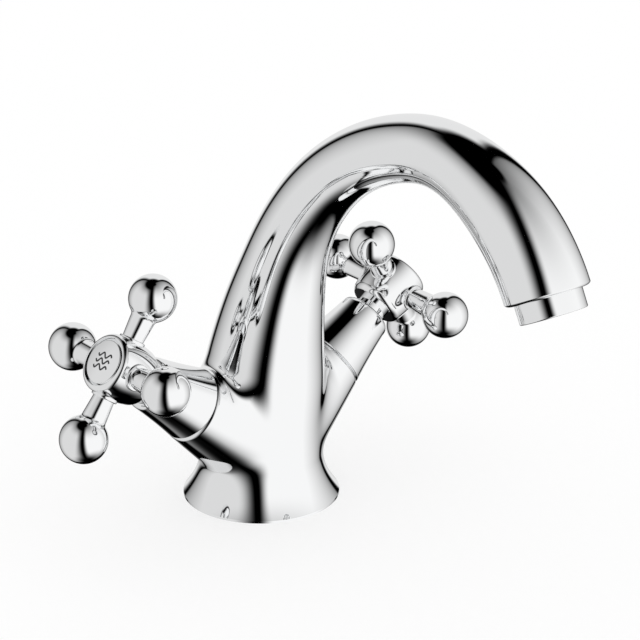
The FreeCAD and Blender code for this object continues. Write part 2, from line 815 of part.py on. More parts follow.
def ceramic_disc(body, start, closed_angle):
    """Ceramic disc with two sector ports about the given angle and its opposite."""
    end = f"({start} + Size.disc_thickness)"
    plate = [("0", start), ("Size.disc_radius", start), ("Size.disc_radius", end), ("0", end)]
    turned(body, "plate", plate)
    face = FreeCAD.Placement(AXIS_Z * worked_out(end), FreeCAD.Rotation(AXIS_Z, closed_angle))
    port = sketch_on(body, "port_outline", "XY_Plane", face)
    near = "Size.disc_port_inner_radius"
    far = "Size.disc_port_outer_radius"
    side_cos = "cos(Size.disc_port_half_angle)"
    side_sin = "sin(Size.disc_port_half_angle)"
    draw_outline(
        port,
        [
            (f"{near} * {side_cos}", f"-{near} * {side_sin}", near, -1),
            (f"{far} * {side_cos}", f"-{far} * {side_sin}"),
            (f"{far} * {side_cos}", f"{far} * {side_sin}", far, 1),
            (f"{near} * {side_cos}", f"{near} * {side_sin}"),
        ],
    )
    opening = pocket(body, "port", port, f"Size.disc_thickness + {OVERRUN}")
    around(body, "ports", [opening], (port, ["N_Axis"]), DISC_PORTS)


def key_outline(body, name, level, slack="0"):
    """Rectangle across a disc, for the spindle's key or the slot that takes it."""
    face = FreeCAD.Placement(AXIS_Z * worked_out(level), FreeCAD.Rotation())
    outline = sketch_on(body, name, "XY_Plane", face)
    half_length = f"(Size.disc_key_length / 2 + {slack})"
    half_width = f"(Size.disc_key_width / 2 + {slack})"
    draw_outline(
        outline,
        [
            (f"-{half_length}", f"-{half_width}"),
            (half_length, f"-{half_width}"),
            (half_length, half_width),
            (f"-{half_length}", half_width),
        ],
    )
    return outline


def make_fixed_disc(side):
    """Lower ceramic disc, held in the cage."""
    body = new_body(f"{side}_fixed_disc")
    ceramic_disc(body, FIXED_DISC_START, 0)
    on_valve_axis(body, side)
    return body


def make_moving_disc(side):
    """Upper ceramic disc, whose ports stand a quarter turn off while the valve is closed."""
    body = new_body(f"{side}_moving_disc")
    ceramic_disc(body, MOVING_DISC_START, QUARTER_TURN)
    slot = key_outline(body, "slot_outline", DRIVER_START, "Size.screw_clearance")
    pocket(body, "slot", slot, "Size.disc_key_depth")
    on_valve_axis(body, side)
    return body


def seal_start(index):
    """Place of a spindle seal's groove along the valve axis."""
    return f"(Size.spindle_seal_place + {index} * Size.spindle_seal_spacing)"


CIRCLIP_START = "(Size.barrel_end + Size.running_clearance)"
SEAL_GROOVE = "(Size.spindle_radius - Size.spindle_seal_depth)"


def make_spindle(side):
    """Spindle: driver with a key for the disc, seal grooves, circlip groove and spline."""
    body = new_body(f"{side}_spindle")
    driver_end = "Size.cage_bore_end - Size.running_clearance"
    profile = [
        ("0", DRIVER_START),
        ("Size.driver_radius", DRIVER_START),
        ("Size.driver_radius", driver_end),
        ("Size.spindle_radius", driver_end),
    ]
    for index in range(SPINDLE_SEALS):
        seal_end = f"{seal_start(index)} + Size.spindle_seal_thickness"
        profile += [
            ("Size.spindle_radius", seal_start(index)),
            (SEAL_GROOVE, seal_start(index)),
            (SEAL_GROOVE, seal_end),
            ("Size.spindle_radius", seal_end),
        ]
    circlip_end = f"{CIRCLIP_START} + Size.circlip_thickness"
    hole_floor = "Size.spindle_end - Size.spindle_hole_depth"
    profile += [
        ("Size.spindle_radius", CIRCLIP_START),
        ("Size.circlip_groove_radius", CIRCLIP_START),
        ("Size.circlip_groove_radius", circlip_end),
        ("Size.spline_radius", circlip_end),
        ("Size.spline_radius", "Size.spindle_end"),
        ("Size.screw_thread_radius", "Size.spindle_end"),
        ("Size.screw_thread_radius", hole_floor),
        ("0", hole_floor),
    ]
    turned(body, "turned_form", profile)
    key = key_outline(body, "key_outline", DRIVER_START)
    pad(body, "key", key, "Size.disc_key_depth - Size.screw_clearance", downward=True)
    on_valve_axis(body, side)
    return body


def make_spindle_seals(side):
    """The spindle's two rubber rings, as separate solids in one node."""
    rings = []
    outer = worked_out(f"{SPINDLE_BORE} - Size.seal_clearance")
    inner = worked_out(SEAL_GROOVE)
    height = size("spindle_seal_thickness")
    for index in range(SPINDLE_SEALS):
        foot = AXIS_Z * worked_out(seal_start(index))
        disc = Part.makeCylinder(outer, height, foot)
        rings.append(disc.cut(Part.makeCylinder(inner, height, foot)))
    seals = document.addObject("Part::Feature", f"{side}_spindle_seals")
    seals.Label = f"{side}_spindle_seals"
    seals.Shape = Part.makeCompound(rings)
    on_valve_axis(seals, side)
    return seals


def make_circlip(side):
    """Open spring ring that holds the spindle in the headwork."""
    body = new_body(f"{side}_circlip")
    end = f"{CIRCLIP_START} + Size.circlip_thickness"
    ring = [
        ("Size.circlip_groove_radius", CIRCLIP_START),
        ("Size.circlip_radius", CIRCLIP_START),
        ("Size.circlip_radius", end),
        ("Size.circlip_groove_radius", end),
    ]
    turned(body, "ring", ring)
    face = FreeCAD.Placement(AXIS_Z * worked_out(end), FreeCAD.Rotation())
    gap = sketch_on(body, "gap_outline", "XY_Plane", face)
    reach = f"(Size.circlip_radius + {OVERRUN})"
    run = f"{reach} * cos(Size.circlip_gap_half_angle)"
    spread = f"{reach} * sin(Size.circlip_gap_half_angle)"
    draw_outline(gap, [("0", "0"), (run, f"-{spread}"), (run, spread)])
    pocket(body, "gap", gap, f"Size.circlip_thickness + {OVERRUN}")
    on_valve_axis(body, side)
    return body


def make_shroud(side):
    """Bell-shaped cover over the headwork, seated on the arm's mouth."""
    body = new_body(f"{side}_shroud")
    collar = "Size.barrel_radius + Size.screw_clearance"
    bell = [
        ("Size.shroud_rim_inner_radius", "Size.arm_mouth_place"),
        ("Size.arm_mouth_radius - Size.shroud_rim_chamfer", "Size.arm_mouth_place"),
        ("Size.arm_mouth_radius", "Size.arm_mouth_place + Size.shroud_rim_chamfer"),
        (
            "Size.shroud_shoulder_radius",
            "Size.shroud_shoulder_place",
            "Size.shroud_flare_radius",
            -1,
        ),
        ("Size.shroud_top_radius", "Size.shroud_top_place", "Size.shroud_crown_radius", 1),
        ("Size.shroud_opening_radius", "Size.shroud_top_place"),
        ("Size.shroud_opening_radius", "Size.shroud_collar_end"),
        (collar, "Size.shroud_collar_end"),
        (collar, "Size.shroud_collar_start"),
        ("Size.shroud_inner_radius", "Size.shroud_collar_start"),
        ("Size.shroud_rim_inner_radius", f"{FLANGE_TOP} + Size.shroud_flange_clearance"),
    ]
    turned(body, "bell", bell)
    on_valve_axis(body, side)
    return body


HUB_FLOOR = "(Size.handle_place + Size.hub_front - Size.index_recess_depth)"
HUB_BACK = "(Size.handle_place - Size.hub_back)"
SCREW_SEAT = "(Size.handle_place - Size.screw_seat_place)"


def make_hub(side):
    """Handle hub: waisted barrel with a boss, an index recess and four seats for the arms."""
    body = new_body(f"{side}_handle_hub")
    front = "Size.handle_place + Size.hub_front"
    boss_end = f"{HUB_BACK} - Size.hub_boss_length"
    bore = "Size.spline_radius + Size.screw_clearance"
    screw_way = "Size.screw_thread_radius + Size.screw_clearance"
    barrel = [
        (bore, boss_end),
        ("Size.hub_boss_radius", boss_end),
        ("Size.hub_boss_radius", HUB_BACK),
        ("Size.hub_back_radius", HUB_BACK),
        (
            "Size.hub_back_shoulder_radius",
            "Size.handle_place - Size.hub_back_shoulder",
            "Size.hub_back_curve",
            1,
        ),
        (
            "Size.hub_barrel_radius",
            "Size.handle_place + Size.hub_barrel_start",
            "Size.hub_barrel_curve",
            1,
        ),
        ("Size.index_recess_radius + Size.hub_rim_width", front, "Size.hub_rim_curve", 1),
        ("Size.index_recess_radius", front),
        ("Size.index_recess_radius", HUB_FLOOR),
        ("Size.screw_well_radius", HUB_FLOOR),
        ("Size.screw_well_radius", SCREW_SEAT),
        (screw_way, SCREW_SEAT),
        (screw_way, "Size.spindle_end + Size.screw_clearance"),
        (bore, "Size.spindle_end + Size.screw_clearance"),
    ]
    turned(body, "barrel", barrel)
    steps = [
        ("seat", "Size.arm_seat_place", "Size.arm_collar_radius + Size.screw_clearance"),
        ("tap", "Size.arm_seat_place - Size.arm_tenon_length", "Size.arm_tenon_radius"),
    ]
    cuts = []
    for name, start, radius in steps:
        level = FreeCAD.Placement(AXIS_Z * worked_out(start), FreeCAD.Rotation())
        outline = sketch_on(body, f"arm_{name}_outline", "YZ_Plane", level)
        draw_circle(outline, radius, ("0", "Size.handle_place"))
        length = f"Size.hub_barrel_radius + {OVERRUN} - ({start})"
        cuts.append(pocket(body, f"arm_{name}", outline, length, outward=True))
    around(body, "arm_seats", cuts, (origin_feature(body, "Z_Axis"), [""]), HANDLE_ARMS)
    on_valve_axis(body, side, f"Size.{side}_handle_angle")
    return body


def make_handle_arm(side, index):
    """Ball-ended arm, turned in one piece with its collar and threaded tenon."""
    body = new_body(f"{side}_handle_arm_{index + 1}")
    swell = "(Size.ball_radius + Size.arm_fillet_radius)"
    fillet_reach = "(Size.arm_stem_end_radius + Size.arm_fillet_radius)"
    fillet_drop = f"sqrt({swell} ^ 2 - {fillet_reach} ^ 2)"
    ball_share = f"(Size.ball_radius / {swell})"
    collar_end = "Size.arm_seat_place + Size.arm_collar_height"
    tenon = "Size.arm_tenon_radius - Size.screw_clearance"
    profile = [
        ("0", "Size.arm_seat_place - Size.arm_tenon_length + Size.screw_clearance"),
        (tenon, "Size.arm_seat_place - Size.arm_tenon_length + Size.screw_clearance"),
        (tenon, "Size.arm_seat_place"),
        ("Size.arm_collar_radius", "Size.arm_seat_place"),
        ("Size.arm_collar_radius", f"{collar_end} - Size.arm_collar_edge"),
        ("Size.arm_collar_radius - Size.arm_collar_edge", collar_end, "Size.arm_collar_edge", 1),
        ("Size.arm_stem_root_radius", collar_end),
        ("Size.arm_stem_end_radius", f"Size.handle_arm_length - {fillet_drop}"),
        (
            f"{fillet_reach} * {ball_share}",
            f"Size.handle_arm_length - {fillet_drop} * {ball_share}",
            "Size.arm_fillet_radius",
            -1,
        ),
        ("0", "Size.handle_arm_length + Size.ball_radius", "Size.ball_radius", 1),
    ]
    turned(body, "turned_form", profile)
    turn = f"Size.{side}_handle_angle + {FULL_TURN / HANDLE_ARMS * index}"
    on_valve_axis(body, side, turn, "Size.handle_place", QUARTER_TURN)
    return body


def make_index_cap(side):
    """Domed disc that closes the hub, with a plug pressed into the screw's well."""
    body = new_body(f"{side}_index_cap")
    front = "(Size.handle_place + Size.hub_front)"
    radius = "(Size.index_recess_radius - Size.screw_clearance)"
    plug = "Size.screw_well_radius - Size.screw_clearance"
    crown = f"({radius} - Size.cap_edge)"
    profile = [
        ("0", f"{HUB_FLOOR} - Size.cap_plug_length"),
        (plug, f"{HUB_FLOOR} - Size.cap_plug_length"),
        (plug, HUB_FLOOR),
        (radius, HUB_FLOOR),
        (radius, f"{front} - Size.cap_edge"),
        (crown, front),
        ("0", f"{front} + Size.cap_dome", dome_radius(crown, "Size.cap_dome"), 1),
    ]
    turned(body, "cap", profile)
    on_valve_axis(body, side, f"Size.{side}_handle_angle")
    return body


def make_handle_screw(side):
    """Socket screw that clamps the hub to the spindle."""
    body = new_body(f"{side}_handle_screw")
    head_top = f"({SCREW_SEAT} + Size.screw_head_height)"
    shank = "Size.screw_thread_radius - Size.screw_clearance"
    profile = [
        ("0", f"{SCREW_SEAT} - Size.screw_length"),
        (shank, f"{SCREW_SEAT} - Size.screw_length"),
        (shank, SCREW_SEAT),
        ("Size.screw_head_radius", SCREW_SEAT),
        ("Size.screw_head_radius", head_top),
        ("0", head_top),
    ]
    turned(body, "screw", profile)
    face = FreeCAD.Placement(AXIS_Z * worked_out(head_top), FreeCAD.Rotation())
    socket = sketch_on(body, "socket_outline", "XY_Plane", face)
    draw_polygon(socket, HEXAGON_SIDES, "Size.screw_socket_across_flats")
    pocket(body, "socket", socket, "Size.screw_socket_depth")
    on_valve_axis(body, side, f"Size.{side}_handle_angle")
    return body


def make_valve(side):
    """Every piece on one valve axis, from the seat seal to the index cap."""
    pieces = [
        make_valve_body(side),
        make_valve_washer(side),
        make_seat_seal(side),
        make_fixed_disc(side),
        make_moving_disc(side),
        make_spindle(side),
        make_spindle_seals(side),
        make_circlip(side),
        make_shroud(side),
        make_hub(side),
    ]
    pieces += [make_handle_arm(side, index) for index in range(HANDLE_ARMS)]
    pieces += [make_handle_screw(side), make_index_cap(side)]
    return pieces


def write_parts(pieces):
    """Check the whole document, then write one file for each piece."""
    for item in document.Objects:
        if "Invalid" in item.State or "Error" in item.State:
            raise ValueError(f"{item.Label} failed: {item.State}")
    for piece in pieces:
        if piece.Shape.isNull() or not piece.Shape.isValid():
            raise ValueError(f"{piece.Label} has no valid shape")
    os.makedirs("parts", exist_ok=True)
    for piece in pieces:
        piece.Shape.exportStep(f"parts/{piece.Label}.step")


parts = [
    make_casting(),
    make_base_gasket(),
    make_aerator_washer(),
    make_aerator_housing(),
    make_aerator_insert(),
    make_aerator_screen(),
]
for name in SIDES:
    parts += make_valve(name)
document.recompute()
write_parts(parts)
for piece in parts:
    print(piece.Label, len(piece.Shape.Solids), round(piece.Shape.Volume, 1))
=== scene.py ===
"""Basin mixer tap with two cross handles, dressed in its finishes.

Lengths are millimetres in the tap's own frame: the origin is the centre of the
round base on the deck, +Z is up, the spout reaches to -Y and the cold valve is
on the +X side. The meshes themselves are written in metres.
"""

import functools
import json
import logging
import math
from dataclasses import dataclass, field
from enum import Enum
from typing import ClassVar

import bmesh
import bpy
import numpy as np
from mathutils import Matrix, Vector

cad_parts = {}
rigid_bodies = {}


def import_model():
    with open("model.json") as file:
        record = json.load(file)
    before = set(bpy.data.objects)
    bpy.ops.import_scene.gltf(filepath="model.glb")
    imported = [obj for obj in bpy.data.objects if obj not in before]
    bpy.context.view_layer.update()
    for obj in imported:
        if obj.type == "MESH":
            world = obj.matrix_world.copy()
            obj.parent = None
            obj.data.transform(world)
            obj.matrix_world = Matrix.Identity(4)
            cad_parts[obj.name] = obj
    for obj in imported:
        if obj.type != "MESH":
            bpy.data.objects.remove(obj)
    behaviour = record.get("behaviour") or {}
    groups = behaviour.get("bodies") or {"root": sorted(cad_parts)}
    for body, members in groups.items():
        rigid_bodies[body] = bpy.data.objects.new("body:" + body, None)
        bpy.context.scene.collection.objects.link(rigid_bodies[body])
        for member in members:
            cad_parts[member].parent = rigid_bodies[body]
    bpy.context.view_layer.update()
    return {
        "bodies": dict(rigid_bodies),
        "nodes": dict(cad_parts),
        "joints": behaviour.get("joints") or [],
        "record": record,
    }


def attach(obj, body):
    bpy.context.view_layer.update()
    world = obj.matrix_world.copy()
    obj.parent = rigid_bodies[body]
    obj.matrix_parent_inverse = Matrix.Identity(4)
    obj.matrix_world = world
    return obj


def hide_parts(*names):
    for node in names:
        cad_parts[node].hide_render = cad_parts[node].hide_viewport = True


MM = 0.001
FULL = 2 * math.pi
TINY = 1e-9
log = logging.getLogger("tap")


class Side(Enum):
    """The two valves, by the sign of their place on X."""

    HOT = -1
    COLD = 1

    @property
    def word(self) -> str:
        """Name of the side as the nodes spell it."""
        return self.name.lower()


class Bulge(Enum):
    """Which way an arc of a turned profile curves."""

    OUT = 1
    IN = -1


class Mark(Enum):
    """Generic sign on an index disc."""

    WAVES = "waves"
    FLAKE = "flake"


# Radius and place of each corner, then radius, bulge and tilt of an arc that leads up to it
Corners = tuple[tuple, ...]
# Value of each input of a node, or the output that feeds it, by the input's name or number
Inputs = dict[str | int, object]


# Frames, outlines and meshes


@dataclass(frozen=True)
class Placement:
    """Right-handed frame of a turned piece: its origin, its axis and where angle zero points.

    Args:
        origin: Point on the axis, in millimetres.
        axis: Unit vector along the axis.
        zero: Unit vector across the axis, towards angle zero.
    """

    origin: tuple[float, float, float]
    axis: tuple[float, float, float]
    zero: tuple[float, float, float]

    @property
    def across(self) -> np.ndarray:
        """Unit vector towards a quarter turn."""
        return np.cross(self.axis, self.zero)

    def spokes(self, angles: np.ndarray) -> np.ndarray:
        """Unit vectors across the axis at the given angles."""
        return np.outer(np.cos(angles), self.zero) + np.outer(np.sin(angles), self.across)

    def points(self, radius: float, place: float, angles: np.ndarray) -> np.ndarray:
        """Points of the ring with this radius, at this place along the axis and these angles."""
        return np.add(self.origin, np.multiply(place, self.axis)) + radius * self.spokes(angles)

    def angle_of(self, points: np.ndarray) -> np.ndarray:
        """Angle of each point about the axis."""
        reach = points - np.array(self.origin)
        return np.arctan2(reach @ self.across, reach @ np.array(self.zero))

    def lifted(self, point: tuple[float, float, float]) -> np.ndarray:
        """A point given along zero, across and axis, in the tap's frame."""
        basis = np.array([self.zero, self.across, self.axis])
        return np.array(self.origin) + np.array(point) @ basis


class Profile:
    """Outline of a turned piece, walked so that the solid is on its left.

    Args:
        radius: Radius of the first corner.
        place: Place of the first corner along the axis.
    """

    def __init__(self, radius: float, place: float) -> None:
        """Starts at the first corner."""
        self.corner = np.array([radius, place])
        self.runs: list[tuple[np.ndarray, np.ndarray]] = []

    @classmethod
    def through(cls, corners: Corners, lift: float = 0.0) -> "Profile":
        """Walks through corners, straight or in arcs.

        Args:
            corners: Radius and place of each corner, and where an arc leads up to it, the
                arc's own radius, its bulge and its tilt as well.
            lift: What is added to every place.

        Returns:
            The profile.
        """
        made = cls(corners[0][0], corners[0][1] + lift)
        for radius, place, *curved in corners[1:]:
            (made.arc if curved else made.line)(radius, place + lift, *curved)
        return made

    def line(self, radius: float, place: float, parts: int = 1) -> "Profile":
        """Adds a straight run to a corner.

        Args:
            radius: Radius of the corner.
            place: Place of the corner along the axis.
            parts: Number of equal parts of the run.

        Returns:
            The profile.
        """
        start, end = self.corner, np.array([radius, place])
        step = end - start
        normal = np.array([step[1], -step[0]]) / np.linalg.norm(step)
        shares = np.linspace(0.0, 1.0, parts + 1)[:, None]
        self.runs.append((start + shares * step, np.repeat(normal[None], parts + 1, axis=0)))
        self.corner = end
        return self

    def arc(self, radius: float, place: float, curve: float, bulge: Bulge, tilt: float = 5.0) -> "Profile":
        """Adds an arc to a corner.

        Args:
            radius: Radius of the corner where the arc ends.
            place: Place of that corner along the axis.
            curve: Radius of the arc itself.
            bulge: Whether the arc swells out of the solid or into it.
            tilt: Largest turn between two neighbouring points, in degrees.

        Returns:
            The profile.
        """
        start, end = self.corner, np.array([radius, place])
        chord = end - start
        span = np.linalg.norm(chord)
        inward = np.array([-chord[1], chord[0]]) / span
        drop = math.sqrt(max(curve * curve - span * span / 4, 0.0))
        centre = (start + end) / 2 + bulge.value * drop * inward
        first = math.atan2(*(start - centre)[::-1])
        turn = (math.atan2(*(end - centre)[::-1]) - first + math.pi) % FULL - math.pi
        parts = max(2, math.ceil(abs(math.degrees(turn)) / tilt))
        angles = first + np.linspace(0.0, turn, parts + 1)
        spokes = np.column_stack([np.cos(angles), np.sin(angles)])
        points = centre + curve * spokes
        points[0], points[-1] = start, end
        self.runs.append((points, bulge.value * spokes))
        self.corner = end
        return self


class MeshDraft:
    """Points, faces and corner normals of one piece while it is being built."""

    def __init__(self) -> None:
        """Starts empty."""
        self.points: list[np.ndarray] = []
        self.count = 0
        self.faces: list[tuple[int, ...]] = []
        self.normals: list[np.ndarray] = []

    def add_points(self, points: np.ndarray) -> np.ndarray:
        """Adds points.

        Args:
            points: The points, in millimetres.

        Returns:
            Their numbers.
        """
        self.points.append(np.asarray(points, float).reshape(-1, 3))
        numbers = np.arange(self.count, self.count + len(self.points[-1]))
        self.count += len(numbers)
        return numbers

    def add_face(self, corners: list[int], normals: np.ndarray) -> None:
        """Adds a face with one normal for each corner."""
        self.faces.append(tuple(int(corner) for corner in corners))
        self.normals.append(np.asarray(normals, float))

    def turn(
        self,
        profile: Profile,
        placement: Placement,
        steps: int = 128,
        angles: np.ndarray | None = None,
        first: np.ndarray | None = None,
        closed: bool = False,
        swell: np.ndarray | None = None,
        swollen: int = 0,
        lead: np.ndarray | None = None,
    ) -> np.ndarray:
        """Turns a profile about an axis.

        Args:
            profile: Outline to turn.
            placement: Axis and place of the piece.
            steps: Number of even steps round the axis.
            angles: Own angles in place of the even steps.
            first: Numbers of points that already stand for the first ring.
            closed: Whether the outline ends where it began.
            swell: What each angle adds to the radius in the first runs.
            swollen: Number of runs that the swell goes for.
            lead: Own normals of the first ring.

        Returns:
            Numbers of the points of the last ring.
        """
        if angles is None:
            angles = np.arange(steps) * FULL / steps
        spokes = placement.spokes(angles)
        axis = np.array(placement.axis)
        count = len(angles)
        ring = first
        opening = None
        for index, (points, normals) in enumerate(profile.runs):
            for step in range(len(points) - 1):
                if ring is None:
                    ring = self.ring(placement, points[step], angles)
                if opening is None:
                    opening = ring
                last = closed and index == len(profile.runs) - 1 and step == len(points) - 2
                extra = swell if index < swollen else None
                onward = opening if last else self.ring(placement, points[step + 1], angles, extra)
                low = normals[step][0] * spokes + normals[step][1] * axis
                if lead is not None:
                    low, lead = lead, None
                high = normals[step + 1][0] * spokes + normals[step + 1][1] * axis
                for here in range(count):
                    there = (here + 1) % count
                    near = [(ring[spot % len(ring)], low[spot]) for spot in (here, there)]
                    far = [(onward[spot % len(onward)], high[spot]) for spot in (there, here)]
                    if len(ring) == 1:
                        near = near[:1]
                    elif len(onward) == 1:
                        far = far[1:]
                    self.add_face(*zip(*near, *far))
                ring = onward
        return ring

    def ring(
        self, placement: Placement, corner: np.ndarray, angles: np.ndarray, extra: np.ndarray | None = None
    ) -> np.ndarray:
        """Adds the ring of one corner of a profile, or a single point where it lies on the axis.

        Args:
            placement: Axis and place of the piece.
            corner: Radius and place of the corner.
            angles: Angles of the ring's points.
            extra: What each angle adds to the radius.

        Returns:
            Numbers of the points.
        """
        if corner[0] < TINY:
            return self.add_points(placement.points(0.0, corner[1], angles[:1]))
        ring = placement.points(corner[0], corner[1], angles)
        if extra is not None:
            ring = ring + extra[:, None] * placement.spokes(angles)
        return self.add_points(ring)

    def piece(self, name: str, finish: "Finish") -> bpy.types.Object:
        """Makes the finished object in metres, with its corner normals and its material.

        Args:
            name: Name of the object.
            finish: Its finish.

        Returns:
            The object.
        """
        mesh = bpy.data.meshes.new(name)
        mesh.from_pydata((np.vstack(self.points) * MM).tolist(), [], self.faces)
        mesh.shade_smooth()
        corner_normals = np.vstack(self.normals)
        corner_normals /= np.linalg.norm(corner_normals, axis=1)[:, None]
        mesh.normals_split_custom_set(corner_normals.tolist())
        mesh.materials.append(finish.material())
        return plain_object(name, mesh)


def plain_object(name: str, mesh: bpy.types.Mesh) -> bpy.types.Object:
    """Links a new object that shows a mesh.

    Args:
        name: Name of the object.
        mesh: What it shows.

    Returns:
        The object.
    """
    made = bpy.data.objects.new(name, mesh)
    bpy.context.scene.collection.objects.link(made)
    return made


def settle(source: bpy.types.Object, name: str) -> bpy.types.Object:
    """Turns an object with modifiers into a plain mesh object.

    Args:
        source: Object with its modifiers; it is removed.
        name: Name of the new object.

    Returns:
        The new object.
    """
    graph = bpy.context.evaluated_depsgraph_get()
    mesh = bpy.data.meshes.new_from_object(source.evaluated_get(graph))
    bpy.data.objects.remove(source)
    return plain_object(name, mesh)


# Nodes and finishes


class NodeSheet:
    """Lays out the nodes of one tree.

    Args:
        tree: Node tree to fill.
    """

    def __init__(self, tree: bpy.types.NodeTree) -> None:
        """Takes the tree."""
        self.tree = tree

    def node(self, kind: str, inputs: Inputs | None = None, **settings: object) -> bpy.types.Node:
        """Adds a node.

        Args:
            kind: Type of the node.
            inputs: Values of its inputs, or outputs of other nodes that feed them.
            settings: The node's own settings, its label among them.

        Returns:
            The node.
        """
        made = self.tree.nodes.new(kind)
        for key, value in settings.items():
            setattr(made, key, value)
        self.feed(made, inputs or {})
        return made

    def feed(self, node: bpy.types.Node, inputs: Inputs) -> None:
        """Sets inputs of a node to values, or joins them to outputs.

        Args:
            node: The node.
            inputs: Value or output for each input, by its name or number.
        """
        for key, value in inputs.items():
            if isinstance(value, bpy.types.NodeSocket):
                self.tree.links.new(value, node.inputs[key])
            else:
                node.inputs[key].default_value = value

    def math(self, operation: str, *terms: object) -> bpy.types.NodeSocket:
        """Adds a math node on numbers or outputs and returns its output."""
        return self.node("ShaderNodeMath", dict(enumerate(terms)), operation=operation).outputs[0]

    def vector(self, operation: str, *terms: object) -> bpy.types.Node:
        """Adds a vector math node on vectors or outputs and returns it."""
        return self.node("ShaderNodeVectorMath", dict(enumerate(terms)), operation=operation)


def bare_material(name: str) -> tuple[bpy.types.Material, NodeSheet, bpy.types.Node]:
    """Makes a material without nodes.

    Args:
        name: Name of the material.

    Returns:
        The material, a sheet on its tree, and its output node.
    """
    material = bpy.data.materials.new(name)
    material.use_nodes = True
    material.node_tree.nodes.clear()
    sheet = NodeSheet(material.node_tree)
    return material, sheet, sheet.node("ShaderNodeOutputMaterial")


class Effect(NodeSheet):
    """A shader group with named inputs, shared by the finishes that use it.

    Args:
        name: Name of the group.
        inputs: Name and value of each input, a number or a vector.
        outputs: Names of the outputs, all numbers.
    """

    def __init__(self, name: str, inputs: Inputs, outputs: tuple[str, ...]) -> None:
        """Makes the group with its sockets."""
        super().__init__(bpy.data.node_groups.new(name, "ShaderNodeTree"))
        for label, value in inputs.items():
            kind = "NodeSocketVector" if isinstance(value, tuple) else "NodeSocketFloat"
            socket = self.tree.interface.new_socket(label, in_out="INPUT", socket_type=kind)
            socket.default_value = value
        for label in outputs:
            self.tree.interface.new_socket(label, in_out="OUTPUT", socket_type="NodeSocketFloat")
        self.given = self.node("NodeGroupInput").outputs
        self.out = self.node("NodeGroupOutput")
        self.place = self.node("ShaderNodeTexCoord").outputs["Object"]


class SharedEffects:
    """The effects that several finishes use, each built once."""

    @staticmethod
    @functools.cache
    def handling() -> bpy.types.NodeTree:
        """Faint cloudy wear from wiping: a roughness that drifts between two values, and a height.

        Returns:
            The group.
        """
        inputs = {"Clouds": 40.0, "Fine": 900.0, "Low": 0.02, "High": 0.05}
        sheet = Effect("handling_haze", inputs, ("Roughness", "Height"))
        clouds, fine = (
            sheet.node(
                "ShaderNodeTexNoise",
                {"Vector": sheet.place, "Scale": sheet.given[scale], "Detail": detail},
                label=label,
            ).outputs["Fac"]
            for label, scale, detail in (("clouds", "Clouds", 3.0), ("wiping marks", "Fine", 2.0))
        )
        spread = sheet.node(
            "ShaderNodeMapRange",
            {
                "Value": sheet.math("MULTIPLY", clouds, fine),
                "From Min": 0.12,
                "From Max": 0.42,
                "To Min": sheet.given["Low"],
                "To Max": sheet.given["High"],
            },
        )
        sheet.feed(sheet.out, {"Roughness": spread.outputs["Result"], "Height": clouds})
        return sheet.tree

    @staticmethod
    @functools.cache
    def grain() -> bpy.types.NodeTree:
        """Small even grain: a height, and a mask for the colour.

        Returns:
            The group.
        """
        sheet = Effect("fine_grain", {"Scale": 1500.0}, ("Height", "Mask"))
        spots = {"Vector": sheet.place, "Scale": sheet.given["Scale"]}
        noise = sheet.node("ShaderNodeTexNoise", {**spots, "Detail": 4.0}, label="grain").outputs["Fac"]
        cells = sheet.node("ShaderNodeTexVoronoi", spots, label="specks").outputs["Distance"]
        sheet.feed(sheet.out, {"Height": sheet.math("MULTIPLY", noise, cells), "Mask": noise})
        return sheet.tree

    @staticmethod
    @functools.cache
    def lathe_lines() -> bpy.types.NodeTree:
        """Fine rings from turning, about an axis through a centre: a height and a mask.

        Returns:
            The group.
        """
        inputs = {"Centre": (0.0, 0.0, 0.0), "Axis": (0.0, 0.0, 1.0), "Pitch": 0.0004}
        sheet = Effect("lathe_lines", inputs, ("Height", "Mask"))
        reach = sheet.vector("SUBTRACT", sheet.place, sheet.given["Centre"]).outputs[0]
        along = sheet.vector("DOT_PRODUCT", reach, sheet.given["Axis"]).outputs["Value"]
        size = sheet.vector("LENGTH", reach).outputs["Value"]
        turns = sheet.math("DIVIDE", sheet.math("ADD", along, size), sheet.given["Pitch"])
        marks = {"W": turns, "Detail": 3.0, "Scale": 1.0}
        noise = sheet.node("ShaderNodeTexNoise", marks, label="tool marks", noise_dimensions="1D")
        sheet.feed(sheet.out, {"Height": noise.outputs["Fac"], "Mask": noise.outputs["Fac"]})
        return sheet.tree


